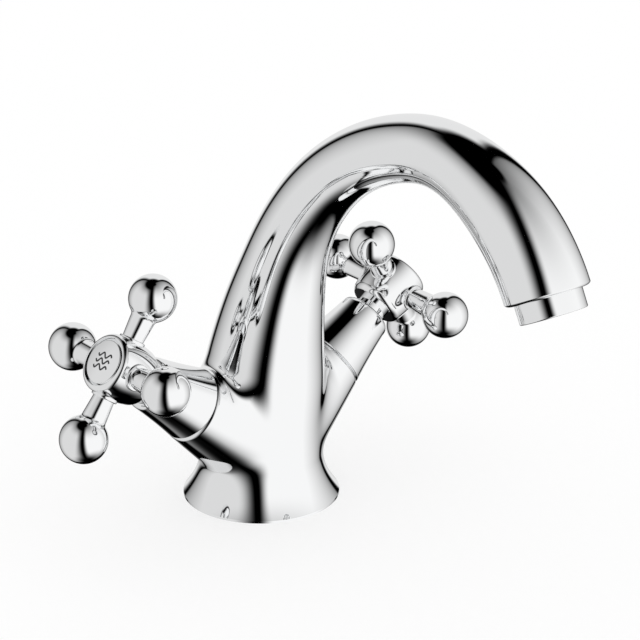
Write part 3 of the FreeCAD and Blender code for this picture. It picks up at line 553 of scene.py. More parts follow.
@dataclass(frozen=True)
class Finish:
    """A surface finish; each kind fills in its own nodes.

    Args:
        name: Name of the material.
        colour: Linear colour of the surface.
        metallic: One for metals.
        low: Lowest roughness.
        high: Highest roughness.
    """

    name: str
    colour: tuple[float, float, float]
    metallic: float = 0.0
    low: float = 0.3
    high: float = 0.5
    cloud_scale: ClassVar[float]
    fine_scale: ClassVar[float]
    tint_span: ClassVar[tuple[float, float]] = (0.3, 0.7)

    def material(self) -> bpy.types.Material:
        """Builds the material on first use.

        Returns:
            The material.
        """
        if self.name in bpy.data.materials:
            return bpy.data.materials[self.name]
        made, sheet, out = bare_material(self.name)
        bare = {"Base Color": (*self.colour, 1.0), "Metallic": self.metallic}
        shader = sheet.node("ShaderNodeBsdfPrincipled", bare)
        sheet.feed(out, {"Surface": shader.outputs["BSDF"]})
        self.dress(sheet, shader)
        return made

    def dress(self, sheet: NodeSheet, shader: bpy.types.Node) -> None:
        """Adds what the finish shows beyond its colour.

        Args:
            sheet: Sheet on the material's tree.
            shader: The material's shader.
        """
        raise NotImplementedError

    def haze(self, sheet: NodeSheet, shader: bpy.types.Node) -> bpy.types.NodeSocket:
        """Lets the handling haze drive the roughness.

        Args:
            sheet: Sheet on the material's tree.
            shader: The material's shader.

        Returns:
            The height of the haze.
        """
        inputs = {"Clouds": self.cloud_scale, "Fine": self.fine_scale, "Low": self.low, "High": self.high}
        made = sheet.node("ShaderNodeGroup", node_tree=SharedEffects.handling())
        sheet.feed(made, inputs)
        sheet.feed(shader, {"Roughness": made.outputs["Roughness"]})
        return made.outputs["Height"]

    def bump(
        self, sheet: NodeSheet, shader: bpy.types.Node, height: bpy.types.NodeSocket, depth: float
    ) -> None:
        """Lets a height raise the surface.

        Args:
            sheet: Sheet on the material's tree.
            shader: The material's shader.
            height: Height between 0 and 1.
            depth: What a height of 1 is, in metres.
        """
        raised = sheet.node("ShaderNodeBump", {"Distance": depth, "Height": height})
        sheet.feed(shader, {"Normal": raised.outputs["Normal"]})

    def tint(
        self, sheet: NodeSheet, shader: bpy.types.Node, mask: bpy.types.NodeSocket, share: float
    ) -> None:
        """Lets a mask darken the colour.

        Args:
            sheet: Sheet on the material's tree.
            shader: The material's shader.
            mask: Mask, dark where it is low.
            share: The most that is taken from the colour.
        """
        ramp = sheet.node("ShaderNodeValToRGB", {"Fac": mask})
        for stop, place, level in zip(ramp.color_ramp.elements, self.tint_span, (1 - share, 1.0)):
            stop.position = place
            stop.color = (*(part * level for part in self.colour), 1.0)
        sheet.feed(shader, {"Base Color": ramp.outputs["Color"]})


@dataclass(frozen=True)
class MirrorPlate(Finish):
    """Polished plating: a clean mirror with a barely visible haze and the buffing's long wave.

    Args:
        wave: Height of the wave, in metres.
    """

    wave: float = 0.000004
    cloud_scale: ClassVar[float] = 38.0
    fine_scale: ClassVar[float] = 1300.0

    def dress(self, sheet: NodeSheet, shader: bpy.types.Node) -> None:
        """Adds the haze and the wave."""
        self.bump(sheet, shader, self.haze(sheet, shader), self.wave)


@dataclass(frozen=True)
class TurnedMetal(Finish):
    """Bare metal from the lathe, with rings about an axis.

    Args:
        centre: Point on the axis, in metres.
        axis: Direction of the axis.
        pitch: Spacing of the rings, in metres.
        depth: Height of the rings, in metres.
        share: How far the rings darken the colour.
    """

    centre: tuple[float, float, float] = (0.0, 0.0, 0.0)
    axis: tuple[float, float, float] = (0.0, 0.0, 1.0)
    pitch: float = 0.0003
    depth: float = 0.000012
    share: float = 0.12
    cloud_scale: ClassVar[float] = 120.0
    fine_scale: ClassVar[float] = 2200.0

    def dress(self, sheet: NodeSheet, shader: bpy.types.Node) -> None:
        """Adds the rings, the haze and a slight change of colour.

        Args:
            sheet: Sheet on the material's tree.
            shader: The material's shader.
        """
        lines = sheet.node("ShaderNodeGroup", node_tree=SharedEffects.lathe_lines())
        sheet.feed(lines, {"Centre": self.centre, "Axis": self.axis, "Pitch": self.pitch})
        self.haze(sheet, shader)
        self.bump(sheet, shader, lines.outputs["Height"], self.depth)
        self.tint(sheet, shader, lines.outputs["Mask"], self.share)


@dataclass(frozen=True)
class Grained(Finish):
    """Rubber, fired ceramic or moulded plastic, with a small grain.

    Args:
        scale: Number of grains in a metre.
        depth: Height of the grain, in metres.
        share: How far the grain darkens the colour.
    """

    scale: float = 2500.0
    depth: float = 0.00002
    share: float = 0.15
    cloud_scale: ClassVar[float] = 90.0
    fine_scale: ClassVar[float] = 1500.0

    def dress(self, sheet: NodeSheet, shader: bpy.types.Node) -> None:
        """Adds the grain to height and colour, and the haze to the roughness.

        Args:
            sheet: Sheet on the material's tree.
            shader: The material's shader.
        """
        grain = sheet.node("ShaderNodeGroup", node_tree=SharedEffects.grain())
        sheet.feed(grain, {"Scale": self.scale})
        self.haze(sheet, shader)
        self.bump(sheet, shader, grain.outputs["Height"], self.depth)
        self.tint(sheet, shader, grain.outputs["Mask"], self.share)


CHROME = MirrorPlate("polished_plate", (0.93, 0.935, 0.94), metallic=1.0, low=0.015, high=0.045)
ENAMEL = Grained(
    "index_enamel", (0.02, 0.02, 0.022), low=0.22, high=0.34, scale=3000.0, depth=0.000006, share=0.3
)
RUBBER = Grained(
    "black_rubber", (0.022, 0.022, 0.024), low=0.62, high=0.8, scale=3500.0, depth=0.00003, share=0.3
)
CERAMIC = Grained(
    "lapped_ceramic", (0.86, 0.85, 0.82), low=0.12, high=0.24, scale=6000.0, depth=0.000003, share=0.05
)
PLASTIC = Grained(
    "moulded_plastic", (0.72, 0.73, 0.74), low=0.3, high=0.42, scale=2600.0, depth=0.00001, share=0.08
)
STAINLESS = Grained(
    "stainless",
    (0.62, 0.61, 0.6),
    metallic=1.0,
    low=0.22,
    high=0.36,
    scale=4200.0,
    depth=0.00001,
    share=0.1,
)


# Sub-assemblies


@dataclass(frozen=True)
class ValveAxis:
    """Where a valve's axis runs: from a foot on the tap's own axis, outwards and up.

    Args:
        side: Which valve.
        foot_height: Height of the foot.
        tilt: Rise of the axis, in degrees.
        handle_place: Place of the handle's centre along the axis.
    """

    side: Side
    foot_height: float = 19.95243
    tilt: float = 35.08
    handle_place: float = 73.9

    def placement(self, turned: float = 0.0) -> Placement:
        """The valve's frame.

        Args:
            turned: How far its zero direction is turned about the axis, in degrees.

        Returns:
            The frame.
        """
        lean, sign = math.radians(self.tilt), self.side.value
        axis = np.array([sign * math.cos(lean), 0.0, math.sin(lean)])
        zero = np.array([math.sin(lean), 0.0, -sign * math.cos(lean)])
        across = np.array([0.0, 1.0, 0.0])
        turn = math.radians(turned)
        zero = math.cos(turn) * zero + math.sin(turn) * across
        return Placement((0.0, 0.0, self.foot_height), tuple(axis), tuple(zero))

    def handle_centre(self) -> np.ndarray:
        """Centre of the cross handle."""
        place = self.placement()
        return np.array(place.origin) + self.handle_place * np.array(place.axis)


@dataclass
class CastingForm:
    """The casting's outer skin as a rule: how far a point is from it.

    The neck is a round section carried along a smooth line in the plane x = 0,
    the arms are cones on the valve axes, and both run into each other in a
    rolling blend.

    Args:
        base_radius: Radius of the round base.
        rim_height: Height of the base's upright rim.
        waist_radius: Radius of the waist.
        waist_height: Height of the waist, where the neck's line begins.
        slim_radius: Radius of the neck at its slimmest.
        mouth_radius: Radius of the spout at its mouth.
        arcs: Radius and turn, in degrees, of each arc of the neck's line.
        flare: Stations of the base's flare, as shares of the way from rim to waist.
        riser: Stations of the neck up from the waist: share of the line, and how far the
            radius is from slim to waist.
        spout: Stations of the spout: share of the line, and how far the radius is from slim
            to mouth.
        arm_root: Radius of an arm's cone at its foot.
        arm_mouth: Radius of an arm at its mouth.
        arm_length: Place of the mouth along the valve's axis.
        blend: Radius of the blend between neck and arm.
        blend_crotch: Radius of the blend near the arm's mouth.
        blend_least: Least width of the blend.
        blend_run: Length over which the blend grows.
        blend_end: How far before the mouth it starts to grow.
        ease: Half the length over which the line's bend is eased.
        step: Step of the tables along the line.
        below: How far the tables reach below the base.
        beyond: How far the tables reach beyond the spout's mouth.
        coarse: Every how manyth point of the line the first search looks at.
        batch: Number of points that the first search takes at once.
        rounds: Rounds of the close search along the line.
        longest: Longest move of a round.
        least_slack: Least that a step along the line shrinks to beside a tight bend.
        least_hold: Least square of a direction that a move is divided by.
        probe: Step of the slopes from which the normals are taken.
        valves: Axes of the two valves.
    """

    base_radius: float = 27.5
    rim_height: float = 0.8
    waist_radius: float = 21.5
    waist_height: float = 16.0
    slim_radius: float = 10.9
    mouth_radius: float = 13.5
    arcs: tuple[tuple[float, float], ...] = ((206.0, 21.8), (85.9, 57.4), (45.9, 26.2), (59.9, 48.6))
    flare: tuple[float, ...] = (0.0, 0.1, 0.2, 0.32, 0.45, 0.6, 0.75, 0.88)
    riser: tuple[tuple[float, float], ...] = (
        (0.0, 1.0), (0.06, 0.995), (0.125, 0.965), (0.185, 0.8), (0.25, 0.585), (0.31, 0.38),
        (0.375, 0.217), (0.44, 0.12), (0.51, 0.055), (0.58, 0.015), (0.65, 0.0),
    )
    spout: tuple[tuple[float, float], ...] = (
        (0.71, 0.01), (0.77, 0.14), (0.83, 0.5), (0.885, 0.83), (0.945, 0.97), (1.0, 1.0),
    )
    arm_root: float = 20.3
    arm_mouth: float = 12.9
    arm_length: float = 38.3
    blend: float = 8.5
    blend_crotch: float = 1.5
    blend_least: float = 2.0
    blend_run: float = 9.0
    blend_end: float = 1.5
    ease: float = 9.0
    step: float = 0.25
    below: float = 8.0
    beyond: float = 14.0
    coarse: int = 16
    batch: int = 8000
    rounds: int = 4
    longest: float = 4.0
    least_slack: float = 0.3
    least_hold: float = 0.05
    probe: float = 0.02
    valves: tuple[ValveAxis, ...] = (ValveAxis(Side.HOT), ValveAxis(Side.COLD))

    def __post_init__(self) -> None:
        """Lays out the centre line and the radius along it."""
        self.length = sum(radius * math.radians(turn) for radius, turn in self.arcs)
        self.start = -self.waist_height - self.below
        self.travel = np.arange(self.start, self.length + self.beyond, self.step)
        bend = np.zeros_like(self.travel)
        reached = 0.0
        for radius, turn in self.arcs:
            bend[self.travel >= reached] = 1.0 / radius
            reached += radius * math.radians(turn)
        sharp = self._path(bend)
        half = int(self.ease / self.step)
        window = 1 + np.cos(np.pi * np.arange(-half, half + 1) / (half + 1))
        padded = np.pad(bend, half, mode="edge")
        eased = self._path(np.convolve(padded, window / window.sum(), mode="valid"))
        end = np.searchsorted(self.travel, self.length)
        share = np.clip(self.travel / self.length, 0.0, None) ** 2
        self.line = eased + np.outer(share, sharp[end] - eased[end])
        way = np.gradient(self.line, self.step, axis=0)
        self.way = way / np.linalg.norm(way, axis=1)[:, None]
        self.curl = np.gradient(self.way, self.step, axis=0)
        self.knots, self.girth, self.second = self._radius_table()

    def _path(self, bend: np.ndarray) -> np.ndarray:
        """Lays out the line that bends as told.

        Args:
            bend: Curvature at each step.

        Returns:
            Points (y, z) of the line, from below the base upwards.
        """
        heading = np.concatenate([[0.0], np.cumsum((bend[1:] + bend[:-1]) / 2) * self.step])
        way = np.column_stack([-np.sin(heading), np.cos(heading)])
        run = np.vstack([[0.0, 0.0], np.cumsum((way[1:] + way[:-1]) / 2, axis=0) * self.step])
        return run + np.array([0.0, self.start + self.waist_height])

    def _radius_table(self) -> tuple[np.ndarray, np.ndarray, np.ndarray]:
        """Runs a smooth curve through the stations of the radius.

        Returns:
            Knots along the line, radius at each, and second derivative at each.
        """
        knots, girth = [], []
        for share in self.flare:
            knots.append(self.rim_height + share * (self.waist_height - self.rim_height) - self.waist_height)
            girth.append(self.waist_radius + (self.base_radius - self.waist_radius) * (1 - share) ** 2)
        for stations, wide in ((self.riser, self.waist_radius), (self.spout, self.mouth_radius)):
            for share, station in stations:
                knots.append(share * self.length)
                girth.append(self.slim_radius + (wide - self.slim_radius) * station)
        knots, girth = np.array(knots), np.array(girth)
        gaps, rises = np.diff(knots), np.diff(girth) / np.diff(knots)
        self.first_slope = -2 * (self.base_radius - self.waist_radius) / (self.waist_height - self.rim_height)
        count = len(knots)
        system, wanted = np.zeros((count, count)), np.zeros(count)
        system[0, :2] = 2 * gaps[0], gaps[0]
        wanted[0] = 6 * (rises[0] - self.first_slope)
        system[-1, -2:] = gaps[-1], 2 * gaps[-1]
        wanted[-1] = -6 * rises[-1]
        for row in range(1, count - 1):
            system[row, row - 1 : row + 2] = gaps[row - 1], 2 * (gaps[row - 1] + gaps[row]), gaps[row]
            wanted[row] = 6 * (rises[row] - rises[row - 1])
        return knots, girth, np.linalg.solve(system, wanted)

    def radius(self, travel: np.ndarray) -> tuple[np.ndarray, np.ndarray]:
        """Reads the neck's radius.

        Args:
            travel: Distances along the line.

        Returns:
            Radius at each distance, and its slope.
        """
        knots, girth, second = self.knots, self.girth, self.second
        low = np.clip(np.searchsorted(knots, travel) - 1, 0, len(knots) - 2)
        gap = knots[low + 1] - knots[low]
        near, far = (knots[low + 1] - travel) / gap, (travel - knots[low]) / gap
        radius = near * girth[low] + far * girth[low + 1]
        radius += ((near**3 - near) * second[low] + (far**3 - far) * second[low + 1]) * gap**2 / 6
        slope = (girth[low + 1] - girth[low]) / gap
        slope += ((3 * far**2 - 1) * second[low + 1] - (3 * near**2 - 1) * second[low]) * gap / 6
        before, after = travel < knots[0], travel > knots[-1]
        radius = np.where(before, girth[0] + self.first_slope * (travel - knots[0]), radius)
        radius = np.where(after, girth[-1], radius)
        return radius, np.where(before, self.first_slope, np.where(after, 0.0, slope))

    def along(self, table: np.ndarray, travel: np.ndarray) -> np.ndarray:
        """Reads a table of the line.

        Args:
            table: One row for each step.
            travel: Distances along the line.

        Returns:
            A row for each distance.
        """
        place = (travel - self.start) / self.step
        low = np.clip(place.astype(int), 0, len(table) - 2)
        share = (place - low)[:, None]
        return table[low] * (1 - share) + table[low + 1] * share

    def beside(self, flat: np.ndarray, travel: np.ndarray) -> tuple[np.ndarray, np.ndarray, np.ndarray]:
        """Sets points against the line.

        Args:
            flat: Points (y, z).
            travel: Distance along the line that goes with each point.

        Returns:
            Way from the line to each point, the line's heading there, and how much a step
            along the line shrinks beside it.
        """
        reach = flat - self.along(self.line, travel)
        way = self.along(self.way, travel)
        slack = 1 - (reach * self.along(self.curl, travel)).sum(1)
        return reach, way, np.maximum(slack, self.least_slack)

    def neck(self, points: np.ndarray) -> tuple[np.ndarray, np.ndarray]:
        """Measures points against the neck.

        Args:
            points: The points.

        Returns:
            Distance of each from the neck's skin, and the direction away from it.
        """
        flat = points[:, 1:]
        coarse = self.line[:: self.coarse]
        travel = np.empty(len(points))
        for begin in range(0, len(points), self.batch):
            part = slice(begin, begin + self.batch)
            gaps = ((flat[part][:, None] - coarse[None]) ** 2).sum(2)
            travel[part] = self.travel[:: self.coarse][gaps.argmin(1)]
        low, high = self.travel[0], self.travel[-2]
        for _ in range(self.rounds):
            reach, way, slack = self.beside(flat, travel)
            move = np.clip((reach * way).sum(1) / slack, -self.longest, self.longest)
            travel = np.clip(travel + move, low, high)
        reach, way, slack = self.beside(flat, travel)
        spoke = np.column_stack([points[:, 0], reach])
        distance = np.linalg.norm(spoke, axis=1)
        spoke /= np.maximum(distance, TINY)[:, None]
        radius, slope = self.radius(travel)
        steep = np.sqrt(1 + slope**2)
        away = spoke - np.column_stack([np.zeros(len(points)), way * (slope / slack)[:, None]])
        return (distance - radius) / steep, away / steep[:, None]

    def arm(self, points: np.ndarray, valve: ValveAxis) -> tuple[np.ndarray, np.ndarray]:
        """Measures points against an arm's cone, which is rounded at its foot.

        Args:
            points: The points.
            valve: Axis of the arm's valve.

        Returns:
            Distance of each point from the cone, and the direction away from it.
        """
        frame = valve.placement()
        axis = np.array(frame.axis)
        reach = points - np.array(frame.origin)
        place = reach @ axis
        spoke = reach - np.outer(place, axis)
        distance = np.linalg.norm(spoke, axis=1)
        spoke /= np.maximum(distance, TINY)[:, None]
        slope = (self.arm_mouth - self.arm_root) / self.arm_length
        steep = math.sqrt(1 + slope * slope)
        value = (distance - (self.arm_root + slope * place)) / steep
        away = (spoke - slope * axis) / steep
        foot = place < -slope * distance
        reached = np.maximum(np.linalg.norm(reach, axis=1), TINY)
        value = np.where(foot, reached - self.arm_root / steep, value)
        return value, np.where(foot[:, None], reach / reached[:, None], away)

    def measure(self, points: np.ndarray) -> tuple[np.ndarray, np.ndarray]:
        """Measures points against the whole skin.

        Args:
            points: The points.

        Returns:
            Distance of each from the skin, and roughly the direction away from it.
        """
        neck_value, neck_away = self.neck(points)
        value, away = neck_value, neck_away
        for valve in self.valves:
            arm_value, arm_away = self.arm(points, valve)
            cosine = np.clip((neck_away * arm_away).sum(1), -1, 1)
            frame = valve.placement()
            place = (points - np.array(frame.origin)) @ np.array(frame.axis)
            share = np.clip((self.arm_length - self.blend_end - place) / self.blend_run, 0, 1)
            curve = self.blend_crotch + (self.blend - self.blend_crotch) * share**2 * (3 - 2 * share)
            width = 6 * curve * (1 - np.sqrt((1 + cosine) / 2)) + self.blend_least
            near = np.maximum(width - np.abs(value - arm_value), 0) / width
            lead = (value < arm_value)[:, None]
            mix = (near**2 / 2)[:, None]
            away = np.where(lead, away, arm_away) * (1 - mix) + np.where(lead, arm_away, away) * mix
            value = np.minimum(value, arm_value) - near**3 * width / 6
        return value, away

    def normals(self, points: np.ndarray) -> np.ndarray:
        """Works out the skin's normals.

        Args:
            points: Points on the skin.

        Returns:
            A unit normal for each point.
        """
        found = np.empty_like(points)
        for index in range(3):
            shift = np.zeros(3)
            shift[index] = self.probe
            found[:, index] = self.measure(points + shift)[0] - self.measure(points - shift)[0]
        return found / np.linalg.norm(found, axis=1)[:, None]

    def settled(self, points: np.ndarray, rounds: int = 5) -> np.ndarray:
        """Moves points onto the skin.

        Args:
            points: The points.
            rounds: How often they are moved.

        Returns:
            Where they end up.
        """
        for _ in range(rounds):
            value, away = self.measure(points)
            hold = np.maximum((away**2).sum(1), self.least_hold)
            points = points - away * (value / hold)[:, None]
        return points


class TreeSheet(NodeSheet):
    """A geometry node tree with named inputs, and the modifier that runs it.

    Args:
        name: Name of the tree.
        inputs: Kind of socket of each named input.
    """

    def __init__(self, name: str, inputs: dict[str, str]) -> None:
        """Makes the tree with its sockets."""
        tree = bpy.data.node_groups.new(name, "GeometryNodeTree")
        tree.interface.new_socket("Geometry", in_out="INPUT", socket_type="NodeSocketGeometry")
        for label, kind in inputs.items():
            tree.interface.new_socket(label, in_out="INPUT", socket_type=f"NodeSocket{kind}")
        tree.interface.new_socket("Geometry", in_out="OUTPUT", socket_type="NodeSocketGeometry")
        super().__init__(tree)
        self.given = self.node("NodeGroupInput").outputs
        self.out = self.node("NodeGroupOutput")

    def finish(self, geometry: bpy.types.NodeSocket) -> None:
        """Ends the tree in realized instances with the material input set on them.

        Args:
            geometry: What the tree has made.
        """
        real = self.node("GeometryNodeRealizeInstances", {"Geometry": geometry}).outputs["Geometry"]
        coat = {"Geometry": real, "Material": self.given["Material"]}
        paint = self.node("GeometryNodeSetMaterial", coat)
        self.feed(self.out, {"Geometry": paint.outputs["Geometry"]})

    def run(self, source: bpy.types.Object, name: str, values: dict[str, object]) -> bpy.types.Object:
        """Runs the tree on an object.

        Args:
            source: The object; it is removed.
            name: Name of the result.
            values: Value of each named input.

        Returns:
            The plain result.
        """
        modifier = source.modifiers.new(self.tree.name, "NODES")
        modifier.node_group = self.tree
        for item in self.tree.interface.items_tree:
            if item.item_type == "SOCKET" and item.in_out == "INPUT" and item.name in values:
                modifier[item.identifier] = values[item.name]
        source.update_tag()
        return settle(source, name)


class SectionAlongLine(TreeSheet):
    """Carries a round section along a line of points, by the girth that each point holds."""

    def __init__(self) -> None:
        """Lays out the nodes."""
        super().__init__("section_along_line", {"Steps Round": "Int", "Material": "Material"})
        path = self.node("GeometryNodeMeshToCurve", {"Mesh": self.given["Geometry"]})
        girth = self.node("GeometryNodeInputNamedAttribute", {"Name": "girth"}, data_type="FLOAT")
        section = {"Resolution": self.given["Steps Round"], "Radius": 1.0}
        ring = self.node("GeometryNodeCurvePrimitiveCircle", section)
        skin = self.node(
            "GeometryNodeCurveToMesh",
            {
                "Curve": path.outputs["Curve"],
                "Profile Curve": ring.outputs["Curve"],
                "Scale": girth.outputs["Attribute"],
                "Fill Caps": True,
            },
        )
        self.finish(skin.outputs["Mesh"])


class RingOfCopies(TreeSheet):
    """Sets copies of a mesh evenly round an axis through a centre."""

    def __init__(self) -> None:
        """Lays out the nodes."""
        sockets = {"Count": "Int", "Axis": "Vector", "Centre": "Vector", "Material": "Material"}
        super().__init__("ring_of_copies", sockets)
        row = {"Count": self.given["Count"], "Offset": (0.0, 0.0, 0.0)}
        seats = self.node("GeometryNodeMeshLine", row)
        index = self.node("GeometryNodeInputIndex").outputs["Index"]
        angle = self.math("MULTIPLY", index, self.math("DIVIDE", FULL, self.given["Count"]))
        spin = self.node("FunctionNodeAxisAngleToRotation", {"Axis": self.given["Axis"], "Angle": angle})
        copies = self.node(
            "GeometryNodeInstanceOnPoints",
            {
                "Points": seats.outputs["Mesh"],
                "Instance": self.given["Geometry"],
                "Rotation": spin.outputs["Rotation"],
            },
        )
        shift = self.node(
            "GeometryNodeTranslateInstances",
            {
                "Instances": copies.outputs["Instances"],
                "Translation": self.given["Centre"],
                "Local Space": False,
            },
        )
        self.finish(shift.outputs["Instances"])

    def about(
        self, single: bpy.types.Object, name: str, valve: ValveAxis, count: int, finish: Finish
    ) -> bpy.types.Object:
        """Sets copies round the centre of a valve's handle.

        Args:
            single: What is copied, built about the origin; it is removed.
            name: Name of the result.
            valve: The valve.
            count: Number of copies.
            finish: Their finish.

        Returns:
            The copies as one object.
        """
        values = {
            "Count": count,
            "Axis": valve.placement().axis,
            "Centre": tuple(valve.handle_centre() * MM),
            "Material": finish.material(),
        }
        return self.run(single, name, values)


def paint(node: bpy.types.Object, finish: Finish) -> None:
    """Gives a node of the model its finish, and reports it.

    Args:
        node: The node.
        finish: Its finish.
    """
    if not node.material_slots:
        node.data.materials.append(finish.material())
    for slot in node.material_slots:
        slot.material = finish.material()
    log.info("%s: %s", node.name, finish.name)


def stand_in(piece: bpy.types.Object, body: str, slot: str, *solids: str) -> None:
    """Lets a piece ride on a body, in place of the solids it stands for, and reports it.

    Args:
        piece: The piece.
        body: Name of the body it rides on.
        slot: Slot of its finish; not used.
        solids: Names of the nodes it replaces.
    """
    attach(piece, body)
    if solids:
        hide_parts(*solids)
    log.info("%s: %d faces", piece.name, len(piece.data.polygons))


@dataclass
class SwanNeckCasting:
    """The one-piece body: round base, swan neck, two valve arms, and the way through them.

    Args:
        form: Rule of the outer skin.
        line_step: Spacing of the rough neck's sections.
        line_spare: How far the rough neck reaches beyond the base and beyond the mouth.
        neck_steps: Steps round the rough neck.
        arm_spare: How far the rough arms reach beyond their mouths.
        arm_foot: Place of the rough arms' foot.
        arm_inset: How much slimmer that foot is than the arm.
        arm_steps: Steps round a rough arm.
        voxel: Size of the even mesh's cells.
        spare: How much skin is left over at each cut until it has settled.
        behind: How far behind a cut its faces are still looked at.
        grip: How near to a cut a point is taken into it.
        base_reach: Reach of the cut at the base.
        mouth_reach: Reach of the cut at the mouth.
        arm_reach: Reach of the cut at an arm.
        rim_depth: How far from a cut its rim's points lie at most.
        rim_breadth: How far from its radius they lie at most.
        rim_slack: How far they may lie outside that radius and still be set on it.
        least_swell: From how much a rim counts as lifted by a blend.
        outlet: Middle of the spout's mouth.
        heading: Direction out of it.
        edge_curve: Radius of the rounding at the mouth's edge.
        edge_centre: Radius at which that rounding ends.
        mouth_thread: Radius of the thread for the aerator.
        seat_depth: Depth of the aerator's seat.
        throat: Radius of the waterway behind the seat.
        throat_depth: Depth of that waterway.
        gasket: Outer and inner radius and depth of the gasket's groove.
        hollow: Outer and inner radius and depth of the hollow in the base.
        shoulder: Radius and turn, in degrees, of each arc of an arm's rounded end.
        bores: Radius and floor of recess, thread, chamber and port, along the valve's axis.
    """

    form: CastingForm = field(default_factory=CastingForm)
    line_step: float = 2.0
    line_spare: tuple[float, float] = (6.0, 8.0)
    neck_steps: int = 96
    arm_spare: float = 4.0
    arm_foot: float = 4.0
    arm_inset: float = 1.0
    arm_steps: int = 72
    voxel: float = 1.0
    spare: float = 2.0
    behind: float = 6.0
    grip: float = 0.12
    base_reach: float = 60.0
    mouth_reach: float = 22.0
    arm_reach: float = 15.8
    rim_depth: float = 0.2
    rim_breadth: float = 2.5
    rim_slack: float = 0.03
    least_swell: float = 0.05
    outlet: tuple[float, float, float] = (0.0, -137.114, 112.654)
    heading: tuple[float, float, float] = (0.0, -0.43837, -0.89879)
    edge_curve: float = 1.9
    edge_centre: float = 11.9
    mouth_thread: float = 10.75
    seat_depth: float = 8.6
    throat: float = 8.5
    throat_depth: float = 20.0
    gasket: tuple[float, float, float] = (25.0, 22.4, 2.2)
    hollow: tuple[float, float, float] = (20.4, 15.2, 8.0)
    shoulder: tuple[tuple[float, float], ...] = ((1.6, 30.0), (4.5, 16.0))
    bores: tuple[tuple[float, float], ...] = ((11.5, 36.5), (10.48, 27.3), (9.8, 12.3), (4.2, 6.3))

    def mouth_frame(self) -> Placement:
        """Frame of the spout's mouth, with its axis pointing out of it."""
        return Placement(self.outlet, self.heading, (1.0, 0.0, 0.0))

    def base_frame(self) -> Placement:
        """Frame of the base, with its axis pointing down."""
        return Placement((0.0, 0.0, 0.0), (0.0, 0.0, -1.0), (1.0, 0.0, 0.0))

    def rough_neck(self) -> bpy.types.Object:
        """Makes the neck as a closed shape, a little longer than it will be.

        Returns:
            The neck.
        """
        form = self.form
        low, high = self.line_spare
        travel = np.arange(-form.waist_height - low, form.length + high, self.line_step)
        mesh = bpy.data.meshes.new("neck_line")
        points = np.column_stack([np.zeros(len(travel)), form.along(form.line, travel)]) * MM
        mesh.from_pydata(points.tolist(), [(spot, spot + 1) for spot in range(len(travel) - 1)], [])
        girth = mesh.attributes.new("girth", "FLOAT", "POINT")
        girth.data.foreach_set("value", form.radius(travel)[0] * MM)
        values = {"Steps Round": self.neck_steps, "Material": CHROME.material()}
        return SectionAlongLine().run(plain_object("neck_line", mesh), "rough_neck", values)

    def rough_arms(self) -> bpy.types.Object:
        """Makes both arms as closed cones, a little longer than they will be.

        Returns:
            The arms as one object.
        """
        form = self.form
        slope = (form.arm_mouth - form.arm_root) / form.arm_length
        near, far = self.arm_foot, form.arm_length + self.arm_spare
        foot = form.arm_root + slope * near - self.arm_inset
        outline = Profile.through(((0.0, near), (foot, near), (form.arm_root + slope * far, far), (0.0, far)))
        arms = MeshDraft()
        for valve in form.valves:
            arms.turn(outline, valve.placement(), self.arm_steps)
        return arms.piece("rough_arms", CHROME)

    def rough(self) -> bpy.types.Object:
        """Puts neck and arms in one mesh, where they still run into each other.

        Returns:
            Both as one object.
        """
        joined = bmesh.new()
        for part in (self.rough_neck(), self.rough_arms()):
            joined.from_mesh(part.data)
            bpy.data.objects.remove(part)
        whole = bpy.data.meshes.new("rough_casting")
        joined.to_mesh(whole)
        joined.free()
        return plain_object("rough_casting", whole)

    def skin(self) -> bmesh.types.BMesh:
        """Makes the outer skin, settled on the form and trimmed at the base, the mouth and the arms.

        Returns:
            The skin, open at the four cuts.
        """
        rough = self.rough()
        remesh = rough.modifiers.new("even", "REMESH")
        remesh.mode = "VOXEL"
        remesh.voxel_size = self.voxel * MM
        even = settle(rough, "even_casting")
        skin = bmesh.new()
        skin.from_mesh(even.data)
        bpy.data.objects.remove(even)
        cuts = [
            (self.base_frame(), -self.form.rim_height, self.base_reach),
            (self.mouth_frame(), self.mouth_cut(), self.mouth_reach),
            *((valve.placement(), self.arm_rim()[0], self.arm_reach) for valve in self.form.valves),
        ]
        for frame, place, reach in cuts:
            self.trim(skin, frame, place + self.spare, reach)
        points = self.form.settled(np.array([vertex.co for vertex in skin.verts]) / MM)
        for vertex, point in zip(skin.verts, points * MM):
            vertex.co = point
        for frame, place, reach in cuts:
            self.trim(skin, frame, place, reach)
        return skin

    def mouth_cut(self) -> float:
        """Place where the mouth's rounding meets the skin."""
        across = self.form.mouth_radius - self.edge_centre
        return math.sqrt(self.edge_curve**2 - across**2) - self.edge_curve

    def trim(self, skin: bmesh.types.BMesh, frame: Placement, place: float, reach: float) -> None:
        """Cuts off what lies beyond a place.

        Args:
            skin: The skin.
            frame: Frame of the cut.
            place: Place of the cut along the frame's axis.
            reach: How far from the axis the cut goes.
        """
        axis = Vector(frame.axis)
        spot = Vector(frame.origin) * MM + axis * place * MM
        parts = set()
        for face in skin.faces:
            gap = face.calc_center_median() - spot
            along = gap.dot(axis)
            if along > -self.behind * MM and (gap - along * axis).length < reach * MM:
                parts.update([face], face.edges, face.verts)
        bmesh.ops.bisect_plane(
            skin, geom=list(parts), dist=self.grip * MM, plane_co=spot, plane_no=axis, clear_outer=True
        )

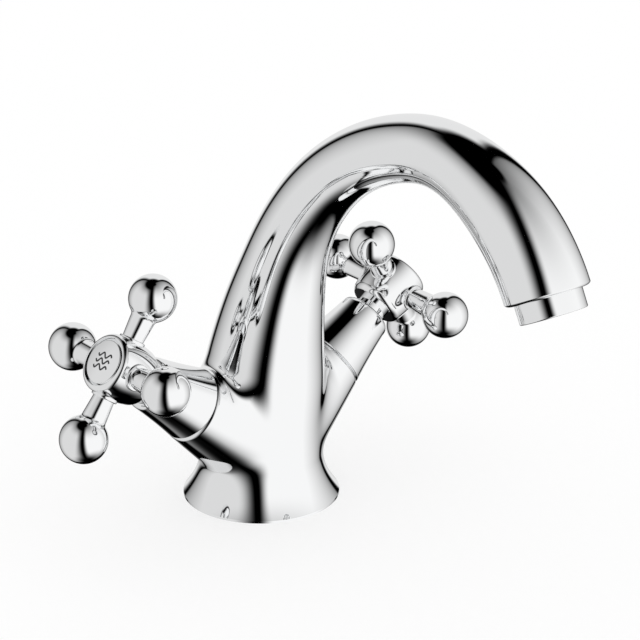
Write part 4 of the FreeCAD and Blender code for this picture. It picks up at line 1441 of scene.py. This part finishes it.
    def loop(
        self, points: np.ndarray, rims: np.ndarray, frame: Placement, place: float, radius: float
    ) -> tuple[np.ndarray, np.ndarray, np.ndarray]:
        """Finds the rim of a cut and lays it exactly in the cut.

        Args:
            points: All points of the skin; the rim's are changed in place.
            rims: Numbers of the points on any open edge.
            frame: Frame of the cut.
            place: Place of the cut along the axis.
            radius: Radius of the rim.

        Returns:
            Numbers of the rim's points in order of angle, those angles, and how far each
            point stands out over the radius where a blend lifts it.
        """
        reach = points[rims] - np.array(frame.origin)
        along = reach @ np.array(frame.axis)
        across = np.linalg.norm(reach - np.outer(along, frame.axis), axis=1)
        near = (np.abs(along - place) < self.rim_depth) & (np.abs(across - radius) < self.rim_breadth)
        found, swell = rims[near], np.maximum(across[near] - radius - self.rim_slack, 0.0)
        angles = frame.angle_of(points[found])
        order = np.argsort(angles)
        found, angles, swell = found[order], angles[order], swell[order]
        points[found] = frame.points(radius, place, angles) + swell[:, None] * frame.spokes(angles)
        return found, angles, swell

    def build(self) -> bpy.types.Object:
        """Builds the whole casting as one closed mesh.

        Returns:
            The casting.
        """
        form = self.form
        skin = self.skin()
        skin.verts.index_update()
        points = np.array([vertex.co for vertex in skin.verts]) / MM
        rims = np.array([vertex.index for vertex in skin.verts if vertex.is_boundary])
        faces = [[vertex.index for vertex in face.verts] for face in skin.faces]
        skin.free()
        cuts = [
            (self.base_frame(), -form.rim_height, form.base_radius, self.underside()),
            (self.mouth_frame(), self.mouth_cut(), form.mouth_radius, self.mouth()),
            *((valve.placement(), *self.arm_rim(), self.socket()) for valve in form.valves),
        ]
        loops = [self.loop(points, rims, *cut[:3]) for cut in cuts]
        sizes = [len(loop[0]) for loop in loops]
        log.info("casting skin: %d points, rims %s of %d", len(points), sizes, len(rims))
        inner = np.setdiff1d(np.arange(len(points)), rims)
        points[inner] = form.settled(points[inner], rounds=2)
        normals = form.normals(points)
        draft = MeshDraft()
        draft.add_points(points)
        for face in faces:
            draft.add_face(face, normals[face])
        for (frame, _, _, profile), (ring, angles, swell) in zip(cuts, loops):
            lifted = bool(swell.max() > self.least_swell)
            lead = normals[ring] if lifted else None
            draft.turn(profile, frame, angles=angles, first=ring, swell=swell, swollen=2 * lifted, lead=lead)
        return draft.piece("casting", CHROME)

    def underside(self) -> Profile:
        """Runs from the base's rim under the foot, round the gasket's groove and the hollow, to the middle.

        Returns:
            The outline.
        """
        outline = Profile(self.form.base_radius, -self.form.rim_height).line(self.form.base_radius, 0.0)
        for wide, narrow, deep in (self.gasket, self.hollow):
            outline.line(wide, 0.0).line(wide, -deep).line(narrow, -deep).line(narrow, 0.0)
        return outline.line(0.0, 0.0)

    def mouth(self) -> Profile:
        """Runs from the skin round the mouth's edge into the thread, the seat and the throat.

        Returns:
            The outline.
        """
        outline = Profile(self.form.mouth_radius, self.mouth_cut())
        outline.arc(self.edge_centre, 0.0, self.edge_curve, Bulge.OUT)
        outline.line(self.mouth_thread, 0.0).line(self.mouth_thread, -self.seat_depth)
        outline.line(self.throat, -self.seat_depth).line(self.throat, -self.throat_depth)
        return outline.line(0.0, -self.throat_depth)

    def shoulder_corners(self) -> list[tuple[float, float]]:
        """Lays out an arm's rounded end, from the skin to the joint.

        Returns:
            Radius and place of each corner.
        """
        slope = (self.form.arm_mouth - self.form.arm_root) / self.form.arm_length
        lean = math.atan(-slope)
        steps = []
        for curve, turn in self.shoulder:
            onward = lean + math.radians(turn)
            drop, rise = math.cos(onward) - math.cos(lean), math.sin(onward) - math.sin(lean)
            steps.append((curve * drop, curve * rise))
            lean = onward
        run = sum(step[1] for step in steps)
        corners = [(self.form.arm_mouth - slope * run, self.form.arm_length - run)]
        for drop, rise in steps:
            corners.append((corners[-1][0] + drop, corners[-1][1] + rise))
        return corners

    def arm_rim(self) -> tuple[float, float]:
        """Place and radius at which the skin of an arm runs into its rounded end."""
        radius, place = self.shoulder_corners()[0]
        return place, radius

    def socket(self) -> Profile:
        """Runs from an arm's skin over its rounded end and down its recess, thread, chamber and port.

        Returns:
            The outline.
        """
        corners = self.shoulder_corners()
        outline = Profile(*corners[0])
        for corner, (curve, _) in zip(corners[1:], self.shoulder):
            outline.arc(*corner, curve, Bulge.OUT)
        place = self.form.arm_length
        for radius, floor in self.bores:
            outline.line(radius, place).line(radius, floor)
            place = floor
        return outline.line(0.0, place)

    def dress(self, nodes: dict[str, bpy.types.Object]) -> None:
        """Builds the casting in place of its solid, and dresses the gasket under it."""
        stand_in(self.build(), "tap_body", "chrome", "body_casting")
        paint(nodes["base_gasket"], RUBBER)


@dataclass
class Shroud:
    """Bell over the headwork, seated on the arm's mouth.

    Args:
        valve: The valve it covers.
        outline: Its corners from the bore over foot, bell and top, and back inside.
        steps: Steps round it.
    """

    valve: ValveAxis
    outline: Corners = (
        (11.5, 38.3), (12.3, 38.3), (12.75, 38.75, 0.45, Bulge.OUT, 9), (9.35, 58.7, 240.0, Bulge.IN, 0.6),
        (7.4, 60.6, 2.2, Bulge.OUT), (6.1, 60.6), (6.1, 57.6), (7.45, 57.6), (7.45, 50.0), (9.3, 50.0),
        (11.5, 39.9), (11.5, 38.3),
    )
    steps: int = 144

    def build(self) -> bpy.types.Object:
        """Turns the bell.

        Returns:
            The bell.
        """
        draft = MeshDraft()
        draft.turn(Profile.through(self.outline), self.valve.placement(), self.steps, closed=True)
        return draft.piece(f"{self.valve.side.word}_shroud_bell", CHROME)

    def dress(self) -> None:
        """Builds the bell in place of its solid."""
        stand_in(self.build(), "tap_body", "chrome", f"{self.valve.side.word}_shroud")


@dataclass
class IndexDisc:
    """Domed disc in the hub's front, with a sloped edge and a generic sign in enamel.

    Args:
        valve: The valve it belongs to.
        angle: Angle of the handle with the valve closed, in degrees.
        mark: Which sign it carries.
        front: How far its edge stands before the handle's centre.
        crown: Radius of its domed face.
        dome: Height of the dome.
        back: Corners of its back, from the middle out, with places from the front.
        rim: Corners of the sloped groove, with places from the front.
        edge_curve: Radius of the rounding between groove and dome.
        line_width: Width of the sign's lines.
        line_span: Lowest and highest level of a line against the dome.
        wave_rows: Where the waves lie.
        wave_run: Half the length of a wave.
        wave_height: Height of a wave.
        wave_pace: How fast it swings, in radians for each millimetre.
        wave_points: Number of points along it.
        stem: Length of the flake's arms.
        stem_points: Number of points along one.
        twig_place: Where a twig leaves its arm.
        twig_run: Length of a twig.
        twig_slant: How far a twig goes outwards and sideways for its length.
        twig_points: Number of points along it.
        repeats: Number of the flake's arms.
    """

    valve: ValveAxis
    angle: float
    mark: Mark
    front: float = 7.3
    crown: float = 7.25
    dome: float = 0.5
    back: Corners = ((0.0, -3.9), (5.15, -3.9), (5.15, -2.1), (8.45, -2.1))
    rim: Corners = ((8.45, -1.1), (7.55, -0.22))
    edge_curve: float = 0.45
    line_width: float = 0.62
    line_span: tuple[float, float] = (-0.12, 0.03)
    wave_rows: tuple[float, ...] = (-2.1, 0.0, 2.1)
    wave_run: float = 3.4
    wave_height: float = 0.75
    wave_pace: float = 1.85
    wave_points: int = 45
    stem: float = 4.3
    stem_points: int = 20
    twig_place: float = 2.4
    twig_run: float = 1.35
    twig_slant: float = 0.72
    twig_points: int = 8
    repeats: int = 6

    def height(self, reach: float) -> float:
        """Height of the dome above the front at a distance from its centre."""
        return self.dome * (1 - (reach / self.crown) ** 2)

    def build(self) -> bpy.types.Object:
        """Turns the disc.

        Returns:
            The disc.
        """
        front = self.valve.handle_place + self.front
        curve = (self.crown**2 + self.dome**2) / (2 * self.dome)
        outline = Profile.through(self.back + self.rim, front)
        outline.arc(self.crown, front, self.edge_curve, Bulge.OUT, tilt=10)
        outline.arc(0.0, front + self.dome, curve, Bulge.OUT, tilt=0.7)
        draft = MeshDraft()
        draft.turn(outline, self.valve.placement(self.angle))
        return draft.piece(f"{self.valve.side.word}_index_disc", CHROME)

    def strokes(self) -> list[np.ndarray]:
        """Draws one repeat of the sign in the disc's own plane.

        Returns:
            Its centre lines.
        """
        if self.mark is Mark.WAVES:
            run = np.linspace(-self.wave_run, self.wave_run, self.wave_points)
            swing = self.wave_height * np.sin(run * self.wave_pace)
            return [np.column_stack([swing + row, run]) for row in self.wave_rows]
        run = np.linspace(0.0, self.stem, self.stem_points)
        stem = np.column_stack([run, np.zeros_like(run)])
        slant = np.linspace(0.0, self.twig_run, self.twig_points) * self.twig_slant
        return [stem, *(np.column_stack([self.twig_place + slant, way * slant]) for way in (-1, 1))]

    def ribbon(self, draft: MeshDraft, stroke: np.ndarray, middle: np.ndarray) -> None:
        """Lays one line of the sign on the dome as a thin ribbon.

        Args:
            draft: Mesh that takes the ribbon.
            stroke: Its centre line.
            middle: Point that is moved to the origin.
        """
        frame = self.valve.placement(self.angle)
        level = self.valve.handle_place + self.front
        low, high = self.line_span
        way = np.gradient(stroke, axis=0)
        way /= np.linalg.norm(way, axis=1)[:, None]
        side = np.column_stack([-way[:, 1], way[:, 0]]) * self.line_width / 2
        rows = []
        for edge, rise in ((-1, low), (-1, high), (1, high), (1, low)):
            flat = stroke + edge * side
            lift = [self.height(math.hypot(*spot)) + rise for spot in flat]
            spots = [frame.lifted((*spot, level + up)) - middle for spot, up in zip(flat, lift)]
            rows.append(draft.add_points(np.array(spots)))
        normals = np.repeat(np.array(frame.axis)[None], 4, axis=0)
        for spot in range(len(stroke) - 1):
            for here, there in zip(rows, rows[1:] + rows[:1]):
                draft.add_face([here[spot + 1], there[spot + 1], there[spot], here[spot]], normals)
        draft.add_face([row[0] for row in rows], normals)
        draft.add_face([row[-1] for row in rows][::-1], normals)

    def build_mark(self) -> bpy.types.Object:
        """Lays the sign on the dome in enamel; the flake is one arm and its copies.

        Returns:
            The sign.
        """
        centre = self.valve.handle_centre() if self.mark is Mark.FLAKE else np.zeros(3)
        draft = MeshDraft()
        for stroke in self.strokes():
            self.ribbon(draft, stroke, centre)
        name = f"{self.valve.side.word}_index_sign"
        if self.mark is Mark.WAVES:
            return draft.piece(name, ENAMEL)
        single = draft.piece("sign_repeat", ENAMEL)
        return RingOfCopies().about(single, name, self.valve, self.repeats, ENAMEL)


@dataclass
class CrossHandle:
    """Cross handle: a waisted hub, four ball-ended arms, an index disc and the screw behind it.

    Args:
        valve: The valve it turns.
        angle: Angle of its first arm with the valve closed, in degrees.
        mark: Sign on its index disc.
        hub: Corners of the hub, with places from the handle's centre: boss, outside, recess
            for the disc, hole for the screw and bore.
        hub_steps: Steps round the hub.
        arms: Number of arms.
        ball: Radius of an arm's ball.
        reach: Distance of the ball's centre from the handle's centre.
        fillet: Radius of the fillet between arm and ball.
        arm_foot: Corners of an arm's foot and collar, with places from the handle's centre.
        arm_end: Radius of an arm where the fillet begins.
        arm_steps: Steps round an arm.
        sharp: Angle between faces from which an edge of the arms is sharp, in degrees.
    """

    valve: ValveAxis
    angle: float
    mark: Mark
    hub: Corners = (
        (4.0, -14.0), (5.6, -14.0), (5.6, -9.8), (8.7, -9.8), (10.0, -7.6, 2.6, Bulge.OUT),
        (10.2, 5.5, 32.0, Bulge.OUT, 1.6), (8.75, 7.3, 2.0, Bulge.OUT, 4), (8.5, 7.3), (8.5, 5.2),
        (5.2, 5.2), (5.2, -1.0), (2.55, -1.0), (2.55, -3.45), (4.0, -3.45), (4.0, -14.0),
    )
    hub_steps: int = 144
    arms: int = 4
    ball: float = 8.25
    reach: float = 25.9
    fillet: float = 1.6
    arm_foot: Corners = (
        (0.0, 6.45), (2.45, 6.45), (2.45, 9.7), (4.6, 9.7), (4.6, 10.6), (4.2, 11.0, 0.4, Bulge.OUT, 15),
        (3.75, 11.0),
    )
    arm_end: float = 4.3
    arm_steps: int = 96
    sharp: float = 24.0

    def build_hub(self) -> bpy.types.Object:
        """Turns the hub with its boss and the recess for the index disc.

        Returns:
            The hub.
        """
        outline = Profile.through(self.hub, self.valve.handle_place)
        draft = MeshDraft()
        draft.turn(outline, self.valve.placement(self.angle), self.hub_steps, closed=True)
        return draft.piece(f"{self.valve.side.word}_hub", CHROME)

    def build_arms(self) -> bpy.types.Object:
        """Turns one arm and sets its copies round the hub.

        Returns:
            The arms as one object.
        """
        swell, neck = self.ball + self.fillet, self.arm_end + self.fillet
        drop = math.sqrt(swell**2 - neck**2)
        share = self.ball / swell
        outline = Profile.through(self.arm_foot).line(self.arm_end, self.reach - drop, parts=4)
        outline.arc(neck * share, self.reach - drop * share, self.fillet, Bulge.IN, tilt=6)
        outline.arc(0.0, self.reach + self.ball, self.ball, Bulge.OUT, tilt=3.2)
        frame = self.valve.placement(self.angle)
        draft = MeshDraft()
        draft.turn(outline, Placement((0.0, 0.0, 0.0), frame.zero, frame.axis), self.arm_steps)
        single = draft.piece("arm_repeat", CHROME)
        made = RingOfCopies().about(single, f"{self.valve.side.word}_arms", self.valve, self.arms, CHROME)
        if "custom_normal" in made.data.attributes:
            made.data.attributes.remove(made.data.attributes["custom_normal"])
        made.data.shade_smooth()
        made.data.set_sharp_from_angle(angle=math.radians(self.sharp))
        return made

    def dress(self, nodes: dict[str, bpy.types.Object]) -> None:
        """Builds the handle's pieces in place of their solids.

        Args:
            nodes: Nodes of the model by name.
        """
        word = self.valve.side.word
        disc = IndexDisc(self.valve, self.angle, self.mark)
        numbered = [f"{word}_handle_arm_{number + 1}" for number in range(self.arms)]
        for piece, slot, solids in (
            (self.build_hub(), "chrome", [f"{word}_handle_hub"]),
            (self.build_arms(), "chrome", numbered),
            (disc.build(), "chrome", [f"{word}_index_cap"]),
            (disc.build_mark(), "plastic", []),
        ):
            stand_in(piece, f"{word}_handle", slot, *solids)
        paint(nodes[f"{word}_handle_screw"], STAINLESS)


@dataclass
class Aerator:
    """Threaded sleeve in the spout's mouth, with a pierced former and a strainer over it.

    Args:
        mouth: Frame of the spout's mouth.
        radius: Radius of the sleeve.
        show: How far it stands out of the mouth.
        edge: Radius of the rounding at its outer edge.
        bore: Radius of its bore.
        rim_bore: Radius inside the rim that shows.
        rim_floor: Place of the step between the two.
        inner_end: Place of its inner end.
        steps: Steps round it.
    """

    mouth: Placement
    radius: float = 10.7
    show: float = 6.2
    edge: float = 0.4
    bore: float = 9.5
    rim_bore: float = 8.3
    rim_floor: float = 4.6
    inner_end: float = -7.2
    steps: int = 144

    def build_sleeve(self) -> bpy.types.Object:
        """Turns the sleeve.

        Returns:
            The sleeve.
        """
        corners = (
            (self.bore, self.inner_end),
            (self.radius, self.inner_end),
            (self.radius, self.show - self.edge),
            (self.radius - self.edge, self.show, self.edge, Bulge.OUT, 10),
            (self.rim_bore, self.show),
            (self.rim_bore, self.rim_floor),
            (self.bore, self.rim_floor),
            (self.bore, self.inner_end),
        )
        draft = MeshDraft()
        draft.turn(Profile.through(corners), self.mouth, self.steps, closed=True)
        return draft.piece("aerator_sleeve", CHROME)

    def dress(self, nodes: dict[str, bpy.types.Object]) -> None:
        """Builds the sleeve in place of its solid, and dresses what it holds.

        Args:
            nodes: Nodes of the model by name.
        """
        stand_in(self.build_sleeve(), "tap_body", "chrome", "aerator_housing")
        for node, finish in (("insert", PLASTIC), ("screen", STAINLESS), ("washer", RUBBER)):
            paint(nodes[f"aerator_{node}"], finish)


@dataclass
class ValveWorks:
    """What turns and seals inside one arm; its solids stay as they are and take their finishes.

    Args:
        valve: The valve.
        brass: Linear colour of its turned brass.
    """

    valve: ValveAxis
    brass: tuple[float, float, float] = (0.78, 0.57, 0.27)

    def dress(self, nodes: dict[str, bpy.types.Object]) -> None:
        """Paints every inner piece of the valve.

        Args:
            nodes: Nodes of the model by name.
        """
        word = self.valve.side.word
        frame = self.valve.placement()
        foot = tuple(part * MM for part in frame.origin)
        brass = TurnedMetal(
            f"{word}_turned_brass", self.brass, metallic=1.0, low=0.2, high=0.34, centre=foot, axis=frame.axis
        )
        finishes = {
            "valve_body": brass,
            "spindle": brass,
            "valve_washer": RUBBER,
            "seat_seal": RUBBER,
            "spindle_seals": RUBBER,
            "fixed_disc": CERAMIC,
            "moving_disc": CERAMIC,
            "circlip": STAINLESS,
        }
        for piece, finish in finishes.items():
            paint(nodes[f"{word}_{piece}"], finish)


# Studio

# Reach of a tail, in degrees, that leaves the window as it is
NO_TAIL = 1e-3


@dataclass(frozen=True)
class Window:
    """A soft-edged opening of the tent, through which the metal sees the white room.

    Angles are in degrees, azimuth 0 towards -Y and elevation 0 level, both from the tent's
    centre.

    Args:
        name: Where it is.
        tone: How light it looks, from 0 for black to 1 for white.
        sides: Azimuths of its left and right edges.
        levels: Elevations of its lower and upper edges.
        soft: Widths of the left, right, lower and upper edges.
        dim: How much darker it gets towards its top, and from which elevation.
        tails: Reach of the slow darkening towards its left and right edges.
        dim_end: Elevation at which it has darkened in full.
        dim_power: How late the darkening towards the top sets in.
        tail_power: How flat the darkening towards the sides is.
    """

    name: str
    tone: float
    sides: tuple[float, float]
    levels: tuple[float, float]
    soft: tuple[float, float, float, float]
    dim: tuple[float, float] = (0.0, 0.0)
    tails: tuple[float, float] = (NO_TAIL, NO_TAIL)
    dim_end: float = 83.0
    dim_power: float = 2.2
    tail_power: float = 0.2

    def look(self, azimuth: np.ndarray, elevation: np.ndarray) -> np.ndarray:
        """Works out how light the window looks.

        Args:
            azimuth: Azimuth of each direction, in radians.
            elevation: Elevation of each direction, in radians.

        Returns:
            A share of white for each direction.
        """
        left, right = (math.radians(side) for side in self.sides)
        height = np.degrees(elevation)
        turns = (azimuth - left, right - azimuth)
        inward = [np.sin(np.clip(turn, -np.pi / 2, np.pi / 2)) for turn in turns]
        reach = [np.degrees(np.arcsin(np.cos(elevation) * sine)) for sine in inward]
        reach += [height - self.levels[0], self.levels[1] - height]
        shown = np.where(np.minimum(*turns) > 0, 1.0, 0.0)
        for gap, width in zip(reach, self.soft):
            share = np.clip(gap / width, 0.0, 1.0)
            shown = shown * share * (2 - share)
        for turn, tail in zip(turns, self.tails):
            shown = shown * np.clip(np.degrees(turn) / tail, 0.0, 1.0) ** self.tail_power
        loss, start = self.dim
        fade = loss * np.clip((height - start) / (self.dim_end - start), 0.0, 1.0) ** self.dim_power
        return np.clip(self.tone - fade, 0.0, 1.0) * shown


WINDOWS = (
    Window(
        "left",
        tone=0.86,
        sides=(-179.0, -52.5),
        levels=(-83.0, 60.0),
        soft=(3.0, 28.5, 26.0, 11.0),
        dim=(1.35, 16.0),
        tails=(38.5, NO_TAIL),
    ),
    Window(
        "right",
        tone=0.977,
        sides=(-44.5, 105.0),
        levels=(-84.0, 81.0),
        soft=(17.5, 3.0, 42.0, 5.0),
        dim=(0.62, 2.0),
        tails=(NO_TAIL, 56.5),
    ),
    Window("back", tone=0.9, sides=(112.0, 177.0), levels=(-50.0, 60.0), soft=(6.5, 14.0, 26.0, 16.0)),
)


def linear(look: np.ndarray) -> np.ndarray:
    """Light that a screen gives at these levels by its usual curve, both from 0 to 1."""
    return np.where(look > 0.04045, ((look + 0.055) / 1.055) ** 2.4, look / 12.92)


@dataclass
class Studio:
    """Pale floor, soft even light, a tent for the metal to mirror, and the camera.

    Args:
        camera_azimuth: Where the camera stands round the tap, in radians.
        camera_elevation: How high it stands, in radians.
        camera_distance: Its distance from what it looks at.
        camera_target: What it looks at.
        camera_lens: Its lens, for a sensor of the width below.
        camera_sensor: Width of its sensor.
        tent_radius: Radius of the tent, in metres.
        tent_centre: Centre of the tent, in metres.
        tent_step: Step of the tent's mesh, in degrees.
        metal_share: Share of the light that the metal itself gives back.
        floor_reach: Half the width of the floor, in metres.
        floor_shade: Level of the floor's own colour.
        floor_glow: Strength of its own light, so that shadows stay pale.
        floor_roughness: Roughness of the floor.
    """

    camera_azimuth: float = -0.70776
    camera_elevation: float = 0.37202
    camera_distance: float = 888.8
    camera_target: tuple[float, float, float] = (16.36, -12.72, 63.98)
    camera_lens: float = 144.98
    camera_sensor: float = 36.0
    tent_radius: float = 0.736
    tent_centre: tuple[float, float, float] = (0.0, -0.043, 0.167)
    tent_step: float = 1.5
    metal_share: float = 0.98
    floor_reach: float = 6.0
    floor_shade: float = 0.34
    floor_glow: float = 0.66
    floor_roughness: float = 0.9

    def world(self) -> None:
        """White surroundings for the camera and the metal, a plain level for everything else."""
        world = bpy.data.worlds.new("white_room")
        bpy.context.scene.world = world
        world.use_nodes = True
        world.node_tree.nodes.clear()
        sheet = NodeSheet(world.node_tree)
        white = {"Color": (1.0, 1.0, 1.0, 1.0), "Strength": 1.0}
        background = sheet.node("ShaderNodeBackground", white).outputs["Background"]
        sheet.node("ShaderNodeOutputWorld", {"Surface": background})

    def floor(self) -> None:
        """Pale floor that keeps the tap's shadow."""
        mesh = bpy.data.meshes.new("floor")
        signs = ((-1, -1), (1, -1), (1, 1), (-1, 1))
        corners = [(across * self.floor_reach, along * self.floor_reach, 0) for across, along in signs]
        mesh.from_pydata(corners, [], [(0, 1, 2, 3)])
        floor = plain_object("floor", mesh)
        material, sheet, out = bare_material("pale_floor")
        cloth = {
            "Base Color": (*[self.floor_shade] * 3, 1.0),
            "Emission Color": (1.0, 1.0, 1.0, 1.0),
            "Emission Strength": self.floor_glow,
            "Roughness": self.floor_roughness,
            "Specular IOR Level": 0.0,
        }
        shader = sheet.node("ShaderNodeBsdfPrincipled", cloth)
        sheet.feed(out, {"Surface": shader.outputs["BSDF"]})
        mesh.materials.append(material)
        floor.visible_glossy = False

    def heading(self, azimuth: np.ndarray, elevation: np.ndarray) -> np.ndarray:
        """Unit vectors towards directions given in radians."""
        flat = np.cos(elevation)
        return np.stack([np.sin(azimuth) * flat, -np.cos(azimuth) * flat, np.sin(elevation)], axis=-1)

    def tent(self) -> None:
        """Hangs a dark tent round the tap, seen only by the metal, with windows onto the white room."""
        across = np.radians(np.arange(-180.0, 180.0, self.tent_step))
        up = np.radians(np.arange(-90.0, 90.0 + self.tent_step, self.tent_step))
        azimuth, elevation = np.meshgrid(across, up)
        turns = [azimuth, azimuth + FULL, azimuth - FULL]
        looks = [window.look(turn, elevation) for window in WINDOWS for turn in turns]
        tone = linear(np.maximum.reduce(looks) / self.metal_share)
        points = self.heading(azimuth, elevation) * self.tent_radius + np.array(self.tent_centre)
        rows, columns = azimuth.shape
        faces = []
        for row in range(rows - 1):
            low, high = row * columns, (row + 1) * columns
            for column in range(columns):
                beside = (column + 1) % columns
                faces.append((low + column, low + beside, high + beside, high + column))
        mesh = bpy.data.meshes.new("tent")
        mesh.from_pydata(points.reshape(-1, 3).tolist(), [], faces)
        shade = mesh.color_attributes.new("tone", "FLOAT_COLOR", "POINT")
        colours = np.ones((tone.size, 4))
        colours[:, :3] = tone.reshape(-1, 1)
        shade.data.foreach_set("color", colours.ravel())
        material, sheet, out = bare_material("tent")
        tint = sheet.node("ShaderNodeAttribute", attribute_name="tone").outputs["Color"]
        cloth = sheet.node("ShaderNodeBsdfTransparent", {"Color": tint})
        sheet.feed(out, {"Surface": cloth.outputs["BSDF"]})
        mesh.materials.append(material)
        tent = plain_object("tent", mesh)
        for sight in ("visible_camera", "visible_diffuse", "visible_shadow", "visible_transmission"):
            setattr(tent, sight, False)

    def camera(self) -> None:
        """Camera at the photograph's angle."""
        turn, rise = self.camera_azimuth, self.camera_elevation
        back = Vector(self.heading(np.float64(turn), np.float64(rise)))
        data = bpy.data.cameras.new("view")
        data.lens = self.camera_lens
        data.sensor_width = self.camera_sensor
        camera = bpy.data.objects.new("view", data)
        camera.location = (Vector(self.camera_target) + back * self.camera_distance) * MM
        camera.rotation_mode = "QUATERNION"
        camera.rotation_quaternion = back.to_track_quat("Z", "Y")
        bpy.context.scene.collection.objects.link(camera)
        bpy.context.scene.camera = camera

    def set_up(self) -> None:
        """Sets up the whole studio."""
        self.world()
        self.floor()
        self.tent()
        self.camera()
        bpy.context.scene.view_settings.view_transform = "Standard"
        log.info("studio: %d windows", len(WINDOWS))


def main() -> None:
    """Dresses the tap and sets up the studio."""
    logging.basicConfig(level=logging.INFO, format="%(name)s: %(message)s")
    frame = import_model()
    nodes = frame["nodes"]
    casting = SwanNeckCasting()
    casting.dress(nodes)
    # Angle of the first arm with the valve closed, in degrees, and the sign on the disc
    handles = {Side.HOT: (0.0, Mark.WAVES), Side.COLD: (13.4, Mark.FLAKE)}
    for side, (angle, mark) in handles.items():
        valve = ValveAxis(side)
        ValveWorks(valve).dress(nodes)
        Shroud(valve).dress()
        CrossHandle(valve, angle, mark).dress(nodes)
    Aerator(casting.mouth_frame()).dress(nodes)
    Studio().set_up()


if __name__ == "__main__":
    main()
